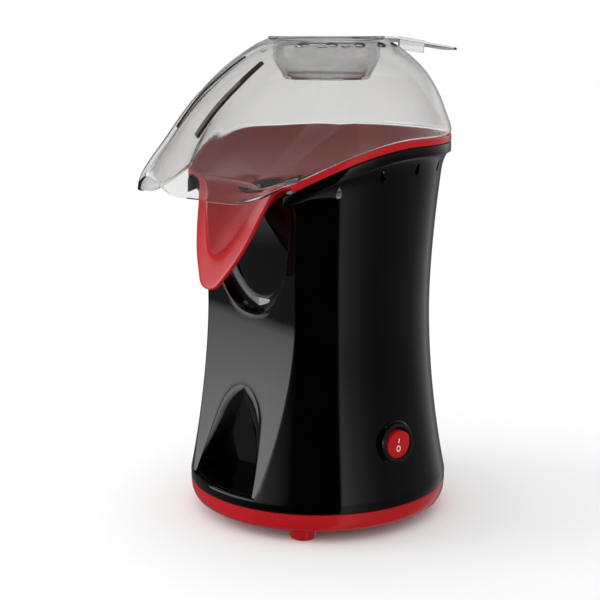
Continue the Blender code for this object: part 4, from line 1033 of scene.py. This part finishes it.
# ---------------------------------------------------------------- chute
@dataclass
class Chute(SubAssembly):
    """The red bowl with its rim strip and the tongue of the spout."""

    thickness: float = 0.0022
    collar_r: float = 0.0405
    collar_z: float = 0.2078
    tip_z: float = 0.1495
    tip_y: float = 0.0844
    lean: float = 0.3458
    corner: float = math.radians(39.5)
    front_columns: int = 72
    back_columns: int = 150
    blend_columns: int = 3
    skirt: Vector = field(default_factory=lambda: Vector((0, 0.0030, -0.0006)))
    tongue_edge: Profile = ((0.0, 0.1495), (0.0075, 0.1512), (0.0135, 0.1580), (0.0220, 0.1700),
                            (0.0290, 0.1850), (0.0346, 0.2000), (0.0402, 0.2102), (0.0523, 0.2140))
    channel_edge: Profile = ((0.0, 0.1705), (0.0060, 0.1718), (0.0112, 0.1765), (0.0165, 0.1850),
                             (0.0215, 0.1950), (0.0262, 0.2050), (0.0345, 0.2122), (0.0480, 0.2149))

    def edge_point(self, knots: Profile, share: float) -> Vector:
        """Point on the tongue's leaning plane, share 0 at the tip and 1 at the rim's corner."""
        both = [(-x, z) for x, z in reversed(knots[1:])] + list(knots)
        stations = np.linspace(-1.0, 1.0, len(both))
        x = smooth([(s, k[0]) for s, k in zip(stations, both)], share)
        z = smooth([(s, k[1]) for s, k in zip(stations, both)], share)
        return from_axis(x, (z - self.tip_z) * self.lean - self.tip_y, z)

    def front_section(self, share: float) -> list[Vector]:
        """From the collar down the channel, over the brim and round its edge."""
        collar = around(self.collar_r, share * self.corner, self.collar_z)
        lip = self.edge_point(self.channel_edge, share)
        edge = self.edge_point(self.tongue_edge, share)
        skirt = self.skirt + Vector((0, 0, -0.002 * abs(share) ** 4))
        floor = [collar.lerp(lip, s) for s in (0.0, 0.06, 0.2, 0.4, 0.6, 0.8, 0.93, 0.98)]
        hollow = 1 - abs(share) ** 3
        for point, dip in zip(floor, (0.0, 0.0, 0.0006, 0.0016, 0.0024, 0.0030, 0.0026, 0.0012)):
            point.z -= dip * hollow
        return floor + [lip.lerp(edge, s) for s in (0.05, 0.4, 0.8, 0.97)] + [
            edge + skirt * s for s in (0.08, 0.5, 1.0)]

    def rim_section(self, angle: float) -> list[Vector]:
        """From the collar up the bowl, over the rim strip and down its outer face."""
        rim = FORM.rim(angle)
        collar = around(self.collar_r, angle, self.collar_z)
        from_corner = min(abs(angle - self.corner), abs(2 * math.pi - self.corner - angle))
        settled = min(from_corner / 0.6, 1.0)
        shoulder = around(0.0755, angle, rim - 0.0020 - 0.0055 * settled)
        floor = [collar.lerp(shoulder, s) for s in (0.0, 0.06, 0.2, 0.4, 0.6, 0.8, 0.93)]
        for point, dip in zip(floor, (0.0, 0.0002, 0.0009, 0.0016, 0.0018, 0.0014, 0.0006)):
            point.z -= dip * settled
        radius, foot = FORM.rim_r, rim - FORM.strip_h
        return floor + [around(r, angle, z) for r, z in (
            (0.0766, rim - 0.0009), (0.0776, rim - 0.0001), (0.0782, rim), (radius - 0.0012, rim),
            (radius - 0.0002, rim - 0.0001), (radius, rim - 0.0006), (radius, foot + 0.0008),
            (radius, foot))]

    def sections(self) -> list[list[Vector]]:
        """All sections round the chute, blended at the two corners."""
        front = [self.front_section(-1 + 2 * k / self.front_columns) for k in range(self.front_columns + 1)]
        start = self.corner + math.radians(2.5)
        sweep = 2 * math.pi - 2 * start
        back = [self.rim_section(start + sweep * k / self.back_columns)
                for k in range(self.back_columns + 1)]

        def between(a: list[Vector], b: list[Vector]) -> list[list[Vector]]:
            """Sections that ease one end section into another."""
            shares = [(k + 1) / (self.blend_columns + 1) for k in range(self.blend_columns)]
            return [[p.lerp(q, ease(s)) for p, q in zip(a, b)] for s in shares]

        rows = front + between(front[-1], back[0]) + back + between(back[-1], front[0])
        return rows + [rows[0]]

    def build(self) -> None:
        """Lay the skin, wall it and smooth it."""
        rows = self.sections()
        skin = Bench.sheet("spout_chute", len(rows) - 1, len(rows[0]) - 1, lambda i, j: rows[i][j],
                           flip=True)
        Bench.thicken(skin, self.thickness, even=False)
        Bench.refine(skin)
        self.seat(skin, Body.CHUTE, GLOSS_RED, "chute", crisp=60.0)


# ---------------------------------------------------------------- hood
@dataclass
class Hood(SubAssembly):
    """The smoked hood: a dome drawn out into a ridged nose."""

    thickness: float = 0.0018
    top_z: float = 0.2959
    top_shift: float = 0.006         # the dome's top stands this far behind the body's axis
    shift_power: float = 0.7
    nose_degrees: float = 45.0       # the nose's own plan holds this far round from the front
    ridge_start: float = 0.2         # shares of the way down where the ridge rises
    ridge_run: float = 0.4
    crowding: float = 0.45           # how much closer the columns stand over the nose
    ridge_half: float = 0.0185
    ridge_h: float = 0.006
    slot_x: float = 0.014
    slot_w: float = 0.0017
    vent_ring: float = 0.0430
    vent_step: float = math.radians(22.5)
    columns: int = 240
    rows: int = 56
    # side radius, side fall, nose radius, nose fall, spread of the nose in degrees
    stations: tuple[tuple[float, ...], ...] = (
        (0.0340, 0.000, 0.0340, 0.000, 100), (0.0370, 0.000, 0.0370, 0.000, 100),
        (0.0430, 0.055, 0.0475, 0.055, 100), (0.0525, 0.176, 0.0605, 0.152, 100),
        (0.0625, 0.344, 0.0755, 0.292, 95), (0.0712, 0.566, 0.0925, 0.480, 80),
        (0.0775, 0.796, 0.1085, 0.715, 58), (0.0813, 0.945, 0.1205, 0.895, 47),
        (0.0818, 1.000, 0.1245, 1.000, 43))
    edge: Profile = ((0.0, 0.2135), (8.0, 0.2125), (14.5, 0.2088), (20.0, 0.2067), (26.0, 0.2062),
                     (32.0, 0.2086), (39.5, 0.2146))
    plan: Profile = ((0.0, 0.1245), (7.5, 0.1215), (14.4, 0.1144), (20.0, 0.1090), (25.5, 0.1033),
                     (31.0, 0.0969), (39.5, 0.0858), (45.0, 0.0819))

    def edge_height(self, degrees: float) -> float:
        """Height of the hood's lower edge."""
        if degrees <= 39.5:
            return smooth(self.edge, degrees)
        resting = FORM.rim(math.radians(degrees)) + GAP + 0.0003
        share = min((degrees - 39.5) / 5.0, 1.0)
        return resting * share + max(resting, self.edge[-1][1]) * (1 - share)

    def ridge(self, x: float) -> float:
        """Section of the nose's ridge, with a valley either side."""
        across = abs(x) / self.ridge_half
        crown = 0.5 + 0.5 * math.cos(math.pi * min(across, 1.0))
        return crown - 0.35 * math.exp(-((across - 1.15) / 0.35) ** 2)

    def skin_point(self, column: int, row: int) -> Vector:
        """Outer skin, columns closer together over the nose."""
        turn = 2 * column / self.columns - 1
        angle = math.pi * turn * (1 - self.crowding + self.crowding * abs(turn))
        degrees = abs(math.degrees(angle))
        last = len(self.stations) - 1
        at = last * row / self.rows
        side_r, side_fall, nose_r, nose_fall, spread = (
            smooth([(k, s[i]) for k, s in enumerate(self.stations)], at) for i in range(5))
        weight = bell(degrees, spread)
        radius = side_r + (nose_r - side_r) * weight
        fall = side_fall + (nose_fall - side_fall) * weight
        if degrees < self.nose_degrees:
            late = ease(at - last + 1)
            radius = radius * (1 - late) + smooth(self.plan, degrees) * late
        point = around(radius, angle, self.top_z - (self.top_z - self.edge_height(degrees)) * fall)
        point.y += self.top_shift * (1 - min(max(side_fall, 0.0), 1.0)) ** self.shift_power
        if degrees < 90:
            grown = min(max((at / last - self.ridge_start) / self.ridge_run, 0.0), 1.0)
            point.z += self.ridge_h * self.ridge(point.x) * grown
        return point

    def slot_cutters(self) -> list[bpy.types.Object]:
        """Three upright blades along the ridge."""
        lean = Matrix.Rotation(math.radians(38), 4, "X")
        return [Bench.block(f"blade_{k}", (self.slot_w, 0.062, 0.050),
                            Matrix.Translation(from_axis(x, -0.0755, 0.262)) @ lean, 0.0007)
                for k, x in enumerate((-self.slot_x, 0.0, self.slot_x))]

    def vent_cutters(self) -> list[bpy.types.Object]:
        """Oval cutters round the cup."""
        cutters = []
        for k in range(12):
            step = k - 5.5
            angle = math.copysign(self.vent_step * (abs(step) + 1.0), step)
            centre = around(self.vent_ring, angle, self.top_z - 0.003)
            centre.y += self.top_shift
            place = (Matrix.Translation(centre) @ Matrix.Rotation(angle, 4, "Z")
                     @ Matrix.Rotation(math.radians(28), 4, "X") @ Matrix.Diagonal((1.6, 1.0, 1.0, 1.0)))
            cutters.append(Bench.rod(f"oval_{k}", 0.0023, 0.012, place, 28))
        return cutters

    def build(self) -> None:
        """Lay the skin, wall it, then cut slots and vents."""
        hood = Bench.sheet("smoked_hood", self.columns, self.rows, self.skin_point, flip=True)
        Bench.thicken(hood, self.thickness, even=False)
        Bench.round_edges(hood, 0.0005, 2, 50.0)
        SMOKE.dress(hood)
        # The cut faces take the second slot, whose dark grey is painted shade.
        hood.data.materials.append(SHADED_CUT_EDGE.made())
        cutters = [Bench.joined(*self.slot_cutters()), Bench.joined(*self.vent_cutters())]
        for cutter in cutters:
            SMOKE.dress(cutter)
            cutter.data.materials.append(SHADED_CUT_EDGE.made())
            for face in cutter.data.polygons:
                face.material_index = 1
        Bench.carve(hood, cutters)
        self.seat(hood, Body.HOOD, None, "top_cover", crisp=35.0)


# ---------------------------------------------------------------- measuring cup
@dataclass
class Cup(SubAssembly):
    """The clear cup that closes the hood's top, and its flat handle."""

    seat_z: float = 0.2962
    radius: float = 0.0333
    wall: float = 0.0015
    shoulder_z: float = 0.284
    floor_r: float = 0.0262
    bottom_z: float = 0.2715
    flange_r: float = 0.0360
    shift: float = 0.006
    handle_half: float = 0.011
    handle_end: float = 0.106

    def bowl(self) -> bpy.types.Object:
        """The turned bowl with its thin flange."""
        top = self.seat_z + 0.0015
        inner = self.wall
        profile = [(0, self.bottom_z + inner), (self.floor_r - 0.0030, self.bottom_z + inner),
                   (self.floor_r - 0.0016, self.bottom_z + inner + 0.0008),
                   (self.radius - inner - 0.0008, self.shoulder_z - 0.0004),
                   (self.radius - inner - 0.0002, self.shoulder_z + 0.0008),
                   (self.radius - inner, top - 0.0003), (self.radius - inner + 0.0003, top),
                   (self.flange_r - 0.0004, top), (self.flange_r, top - 0.0004),
                   (self.flange_r, self.seat_z + 0.0003), (self.flange_r - 0.0003, self.seat_z),
                   (self.radius, self.seat_z), (self.radius - 0.0002, self.shoulder_z + 0.0006),
                   (self.radius - 0.0007, self.shoulder_z - 0.0005),
                   (self.floor_r + 0.0004, self.bottom_z + 0.0009),
                   (self.floor_r - 0.0006, self.bottom_z + 0.0001), (self.floor_r - 0.0016, self.bottom_z),
                   (0, self.bottom_z)]
        return Bench.turned("cup_and_handle", profile, 128,
                            Matrix.Translation((0, AXIS_Y + self.shift, 0)))

    def handle_point(self, column: int, row: int) -> Vector:
        """Upper skin of the tab, which droops and narrows towards its end."""
        stations = ((0.0341, 0.0, 1.25), (0.045, 0.0, 1.1), (0.070, 0.0032, 1.0), (0.095, 0.0062, 0.9),
                    (0.103, 0.0075, 0.72), (0.1055, 0.0077, 0.5), (self.handle_end, 0.0078, 0.3))
        y = 0.0341 + (self.handle_end - 0.0341) * (1 - (1 - row / 24) ** 1.6)
        droop = straight([(s[0], s[1]) for s in stations], y)
        width = straight([(s[0], s[2]) for s in stations], y)
        x = self.handle_half * width * (2 * column / 10 - 1)
        return from_axis(x, y + self.shift, self.seat_z + 0.0014 - droop)

    def build(self) -> None:
        """Bowl, tab and grip rib joined into one piece."""
        cup = self.bowl()
        tab = Bench.sheet("handle_tab", 10, 24, self.handle_point)
        Bench.thicken(tab, 0.0013)
        Bench.round_edges(tab, 0.0004, 2, 50.0)
        place = Matrix.Translation(from_axis(0, 0.070 + self.shift, self.seat_z - 0.0041))
        rib = Bench.block("handle_rib", (0.0016, 0.022, 0.0080), place @ Matrix.Rotation(-0.12, 4, "X"),
                          0.0004)
        Bench.carve(cup, [tab, rib], "UNION")
        self.seat(cup, Body.CUP, CLEAR, "measuring_cup", crisp=35.0)


# ---------------------------------------------------------------- switch and inlet
@dataclass
class SideSwitch(SubAssembly):
    """Round rocker switch in its bezel, resting in the off position."""

    z: float = 0.057
    bezel_r: float = 0.0120
    neck_r: float = 0.0108
    rocker_r: float = 0.0086
    tilt: float = math.radians(12.0)
    face_rise: float = math.radians(6.0)
    face_h: float = 0.0028

    def bezel(self) -> bpy.types.Object:
        """The turned ring that holds the rocker."""
        face = 0.0012
        bore = self.rocker_r + 0.0009
        profile = [(self.bezel_r, face + 0.0012), (self.bezel_r, face + GAP), (self.neck_r, face + GAP),
                   (self.neck_r, -0.0052), (bore, -0.0052), (bore, face + 0.0015),
                   (bore + 0.0003, face + 0.0019), (bore + 0.0007, face + 0.0020),
                   (self.bezel_r - 0.0009, face + 0.0019), (self.bezel_r - 0.0003, face + 0.0017)]
        return Bench.turned("round_bezel", profile, 96, switch_seat(self.z), closed=True)

    def rocker(self) -> bpy.types.Object:
        """The button: a disc whose two faces meet in a shallow valley."""
        tipped = switch_seat(self.z) @ Matrix.Rotation(self.tilt, 4, "Y")
        button = Bench.rod("rocker_button", self.rocker_r, 0.0080, Matrix.Translation((0, 0, 0.0005)), 96)
        cutters = []
        for sign in (1, -1):
            place = (Matrix.Rotation(-sign * self.face_rise, 4, "Y")
                     @ Matrix.Translation((sign * 0.01, 0, self.face_h + 0.005)))
            cutters.append(Bench.block(f"face_cutter_{sign}", (0.0201, 0.03, 0.010), place))
        Bench.carve(button, cutters)
        Bench.round_edges(button, 0.0005, 3, 40.0)
        button.data.transform(tipped)
        return button

    def mark_seat(self, sign: int, out: float) -> Matrix:
        """Seat on one half of the rocker's face, out from its middle."""
        return (switch_seat(self.z) @ Matrix.Rotation(self.tilt, 4, "Y")
                @ Matrix.Rotation(-sign * self.face_rise, 4, "Y")
                @ Matrix.Translation((sign * out, 0, self.face_h)))

    def marks(self) -> bpy.types.Object:
        """The on bar and the off ring, printed on the rocker."""
        bar = Bench.block("rocker_marks", (0.0030, 0.0007, 0.00012), self.mark_seat(-1, 0.0026), 0.00004)
        Bench.clear()
        bpy.ops.mesh.primitive_torus_add(major_radius=0.00135, minor_radius=0.0003, major_segments=40,
                                         minor_segments=8)
        ring = Bench.started("off_ring")
        Bench.pick(ring)
        bpy.ops.object.mode_set(mode="EDIT")
        bpy.ops.mesh.select_all(action="SELECT")
        bpy.ops.transform.resize(value=(1.15, 1.0, 0.2), center_override=(0, 0, 0))
        bpy.ops.object.mode_set(mode="OBJECT")
        ring.data.transform(self.mark_seat(1, 0.0030))
        return Bench.joined(bar, ring)

    def build(self) -> None:
        """Bezel, rocker and its marks."""
        self.seat(self.bezel(), Body.HOUSING, SATIN_BLACK, "switch_bezel")
        self.seat(self.rocker(), Body.ROCKER, GLOSS_RED, "switch_rocker")
        self.seat(self.marks(), Body.ROCKER, PAINT_WHITE)


@dataclass
class CordInlet(SubAssembly):
    """Rubber bush at the back, where the supply cord would enter."""

    z: float = 0.034
    radius: float = 0.0052

    def build(self) -> None:
        """Turn the bush."""
        face, bore = 0.0005, 0.0034
        out = self.radius + 0.0022
        profile = [(out, face + 0.0018), (out, face), (self.radius, face - 0.0004), (self.radius, -0.0065),
                   (bore, -0.0065), (bore, face + 0.0022), (bore + 0.0004, face + 0.0026),
                   (self.radius + 0.0014, face + 0.0026), (out - 0.0003, face + 0.0022)]
        bush = Bench.turned("inlet_bush", profile, 48, inlet_seat(self.z), closed=True)
        self.seat(bush, Body.HOUSING, SOFT_RUBBER, "cord_inlet")


# ---------------------------------------------------------------- popping chamber
@dataclass
class Chamber(SubAssembly):
    """The spun chamber with its slanting air slots and flange."""

    radius: float = 0.0400
    wall: float = 0.0012
    bottom: float = 0.118
    top: float = 0.2032
    flange_r: float = 0.0455
    louvres: int = 12

    def build(self) -> None:
        """Turn the chamber and cut its slots."""
        inner, floor = self.radius - self.wall, self.bottom + self.wall
        under = self.top - self.wall
        profile = [(0, floor + 0.004), (0.006, floor + 0.0032), (0.014, floor), (inner - 0.003, floor),
                   (inner - 0.0009, floor + 0.0009), (inner, floor + 0.003), (inner, self.top - 0.0008),
                   (inner + 0.0008, self.top), (self.flange_r, self.top), (self.flange_r, under),
                   (self.radius, under), (self.radius, floor + 0.0027),
                   (self.radius - 0.0011, floor - 0.0001), (self.radius - 0.0037, self.bottom),
                   (0.0137, self.bottom), (0.006, floor + 0.0019), (0, floor + 0.0028)]
        pot = Bench.turned("spun_chamber", profile, 120)
        slot = Bench.block("louvre_cutter", (0.0018, 0.008, 0.010), Matrix(), 0.0006)
        cutters = [Bench.copied(slot, f"louvre_{k}",
                                spin_about_axis(2 * math.pi * (k + 0.5) / self.louvres)
                                @ Matrix.Translation((0, -self.radius, self.bottom + 0.011))
                                @ Matrix.Rotation(0.6, 4, "Y")) for k in range(self.louvres)]
        bpy.data.objects.remove(slot, do_unlink=True)
        cutters.append(Bench.block("flat_cutter", (0.08, 0.02, 0.01), Matrix.Translation(
            from_axis(0, -self.radius - 0.0106, self.top))))
        for angle in (60, 180, 300):
            spot = around((self.radius + self.flange_r) / 2, math.radians(angle), self.top)
            cutters.append(Bench.rod(f"screw_cutter_{angle}", 0.0018, 0.01, Matrix.Translation(spot), 24))
        Bench.carve(pot, [Bench.joined(*cutters)])
        self.seat(pot, Body.HOUSING, SPUN_ALUMINIUM, "popping_chamber")


@dataclass
class InnerWorks(SubAssembly):
    """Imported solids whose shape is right: they only get their finishes."""

    finishes: dict[Slot, Finish] = field(default_factory=lambda: {
        Slot.NYLON: NYLON, Slot.STEEL: STEEL, Slot.BRASS: BRASS, Slot.NICHROME: NICHROME,
        Slot.MICA: MICA, Slot.BOARD: BOARD, Slot.RED_WIRE: RED_WIRE, Slot.BLUE_WIRE: BLUE_WIRE,
        Slot.RUBBER: SOFT_RUBBER, Slot.BLACK: SATIN_BLACK, Slot.RED: GLOSS_RED,
        Slot.ALUMINIUM: SPUN_ALUMINIUM, Slot.SMOKE: SMOKE, Slot.CLEAR: CLEAR})
    frame: dict = field(default_factory=dict)

    def build(self) -> None:
        """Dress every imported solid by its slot."""
        for row in self.frame["record"]["subparts"]:
            node = self.frame["nodes"][row["node"]]
            if node.hide_render:
                continue
            self.finishes[Slot(row["material_slot"])].dress(node)
            self.made.append(row["node"])


# ---------------------------------------------------------------- studio
@dataclass
class Studio:
    """Pale floor, soft light and the camera."""

    camera_at: tuple[float, float, float] = (0.6368, -0.48805, 0.2977)
    azimuth: float = math.radians(53.0)
    pitch: float = math.radians(11.58)
    lens: float = 77.33
    # direction round the object in degrees, and how bright the room is there in reflections
    right: tuple[tuple[float, float], ...] = (
        (30.0, 0.0), (72.5, 0.0), (73.5, 0.48), (86.0, 0.28), (100.0, 0.14), (113.0, 0.08),
        (140.0, 0.11), (160.0, 0.15), (180.0, 0.30))
    bank: tuple[tuple[float, float], ...] = (
        (-180.0, 0.30), (-165.0, 0.50), (-150.0, 0.15), (-57.2, 0.10), (-56.8, 1.0), (-52.0, 1.5),
        (-15.0, 1.2), (5.0, 0.3))
    flags: tuple[tuple[float, float], ...] = (
        (-180.0, 0.30), (-165.0, 0.50), (-150.0, 0.15), (-110.0, 0.12), (-70.0, 0.12),
        (-45.0, 0.10), (-30.0, 0.10), (0.0, 0.03))
    # sines of the heights between which the bright bank stands, and the width of its soft ends
    bank_foot: float = -0.17
    bank_head: float = 0.24
    foot_blur: float = 0.02
    head_blur: float = 0.05

    def camera(self) -> None:
        """Stand the camera at its place and aim it."""
        data = bpy.data.cameras.new("studio_camera")
        data.lens = self.lens
        data.sensor_width = 36.0
        data.clip_start = 0.02
        data.clip_end = 50.0
        camera = bpy.data.objects.new("studio_camera", data)
        bpy.context.scene.collection.objects.link(camera)
        level = math.cos(self.pitch)
        aim = Vector((-math.sin(self.azimuth) * level, math.cos(self.azimuth) * level,
                      -math.sin(self.pitch)))
        camera.location = self.camera_at
        camera.rotation_mode = "QUATERNION"
        camera.rotation_quaternion = aim.to_track_quat("-Z", "Y")
        bpy.context.scene.camera = camera

    def floor(self) -> None:
        """A wide pale matt floor that the gloss does not pick up."""
        Bench.clear()
        bpy.ops.mesh.primitive_plane_add(size=60.0)
        floor = Bench.started("studio_floor")
        material = bpy.data.materials.new("pale_floor")
        material.use_nodes = True
        tree = material.node_tree
        shader = tree.nodes["Principled BSDF"]
        shader.inputs["Roughness"].default_value = 1.0
        shader.inputs["Specular IOR Level"].default_value = 0.0
        fleck = Effects.node(tree, "TexNoise", {"Scale": 9.0, "Detail": 2.0})
        tint = Effects.node(tree, "Mix", data_type="RGBA")
        tint.inputs["A"].default_value = (0.955, 0.955, 0.955, 1.0)
        tint.inputs["B"].default_value = (0.965, 0.965, 0.965, 1.0)
        tree.links.new(fleck.outputs["Fac"], tint.inputs["Factor"])
        tree.links.new(tint.outputs["Result"], shader.inputs["Base Color"])
        floor.data.materials.append(material)
        floor.visible_glossy = False

    def ramp(self, tree: bpy.types.NodeTree, place: bpy.types.NodeSocket,
             stops: Sequence[tuple[float, float]]) -> bpy.types.NodeSocket:
        """Brightness of the room by direction.

        Args:
            tree: the world's nodes.
            place: direction round the object, 0 to 1 for -180 to 180 degrees.
            stops: (degrees, brightness) pairs.

        Returns:
            The colour that the ramp gives.
        """
        made = Effects.node(tree, "ValToRGB")
        tree.links.new(place, made.inputs["Fac"])
        elements = made.color_ramp.elements
        elements.remove(elements[-1])
        elements[0].color = (stops[0][1], stops[0][1], stops[0][1], 1.0)
        for degrees, bright in stops[1:]:
            elements.new((degrees + 180.0) / 360.0).color = (bright, bright, bright, 1.0)
        return made.outputs["Color"]

    def room_light(self) -> None:
        """An even white room whose reflections have bright banks and dark flags."""
        world = bpy.data.worlds.new("studio_room")
        bpy.context.scene.world = world
        world.use_nodes = True
        tree = world.node_tree
        background = tree.nodes["Background"]
        where = Effects.node(tree, "TexCoord")
        parts = Effects.node(tree, "SeparateXYZ")
        ahead = Effects.node(tree, "Math", {1: -1.0}, operation="MULTIPLY")
        turn = Effects.node(tree, "Math", operation="ARCTAN2")
        share = Effects.node(tree, "MapRange", {"From Min": -math.pi, "From Max": math.pi})
        rise = Effects.node(tree, "MapRange", {"From Min": self.bank_foot - self.foot_blur,
                                               "From Max": self.bank_foot + self.foot_blur})
        fall = Effects.node(tree, "MapRange", {"From Min": self.bank_head + self.head_blur,
                                               "From Max": self.bank_head - self.head_blur})
        band = Effects.node(tree, "Math", operation="MULTIPLY")
        climb = Effects.node(tree, "MapRange", {"From Min": self.bank_foot, "From Max": 0.16,
                                                "To Min": 0.75, "To Max": 2.3})
        bank = Effects.node(tree, "Mix", {"Factor": 1.0}, data_type="RGBA",
                            blend_type="MULTIPLY")
        mirrored = Effects.node(tree, "Mix", data_type="RGBA")
        ray = Effects.node(tree, "LightPath")
        outside = Effects.node(tree, "Math", {1: 0.5}, operation="LESS_THAN")
        seen = Effects.node(tree, "Math", operation="MULTIPLY")
        shown = Effects.node(tree, "Mix", data_type="RGBA")
        shown.inputs["A"].default_value = (1.04, 1.04, 1.04, 1.0)
        Effects.wire(tree, (where, "Generated", parts, "Vector"), (parts, "Y", ahead, 0),
                     (parts, "X", turn, 0), (ahead, 0, turn, 1), (turn, 0, share, "Value"),
                     (parts, "Z", rise, "Value"), (parts, "Z", fall, "Value"),
                     (rise, "Result", band, 0), (fall, "Result", band, 1),
                     (band, 0, mirrored, "Factor"))
        tree.links.new(self.ramp(tree, share.outputs["Result"], self.flags + self.right),
                       mirrored.inputs["A"])
        Effects.wire(tree, (parts, "Z", climb, "Value"))
        tree.links.new(self.ramp(tree, share.outputs["Result"], self.bank + self.right), bank.inputs["A"])
        Effects.wire(tree, (climb, "Result", bank, "B"), (bank, "Result", mirrored, "B"),
                     (ray, "Transmission Depth", outside, 0), (ray, "Is Glossy Ray", seen, 0),
                     (outside, 0, seen, 1), (seen, 0, shown, "Factor"),
                     (mirrored, "Result", shown, "B"), (shown, "Result", background, "Color"))

    def softbox(self, name: str, at: Sequence[float], aim: Sequence[float], size: tuple[float, float],
                watts: float) -> None:
        """A rectangular soft light aimed at a point."""
        data = bpy.data.lights.new(name, "AREA")
        data.shape = "RECTANGLE"
        data.size, data.size_y = size
        data.energy = watts
        lamp = bpy.data.objects.new(name, data)
        bpy.context.scene.collection.objects.link(lamp)
        lamp.location = at
        lamp.visible_glossy = False
        lamp.rotation_mode = "QUATERNION"
        lamp.rotation_quaternion = (Vector(aim) - Vector(at)).to_track_quat("-Z", "Y")

    def build(self) -> None:
        """Camera, floor and light."""
        self.camera()
        self.floor()
        self.room_light()
        self.softbox("front_left_softbox", (-0.40, -0.56, 0.32), (0, 0, 0.32), (0.40, 0.62), 2.2)
        bpy.context.scene.view_settings.view_transform = "Standard"
        bpy.context.scene.view_settings.look = "None"


def main() -> None:
    """Build every sub-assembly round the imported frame."""
    logging.basicConfig(level=logging.INFO, format="%(name)s: %(message)s")
    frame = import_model()
    Studio().build()
    for assembly in (Housing(), FrontPanel(), Base(), Chute(), Hood(), Cup(), SideSwitch(), CordInlet(),
                     Chamber(), InnerWorks(frame=frame)):
        assembly.build()
        for name in assembly.made:
            LOG.info("%s: %s", type(assembly).__name__, name)


if __name__ == "__main__":
    main()
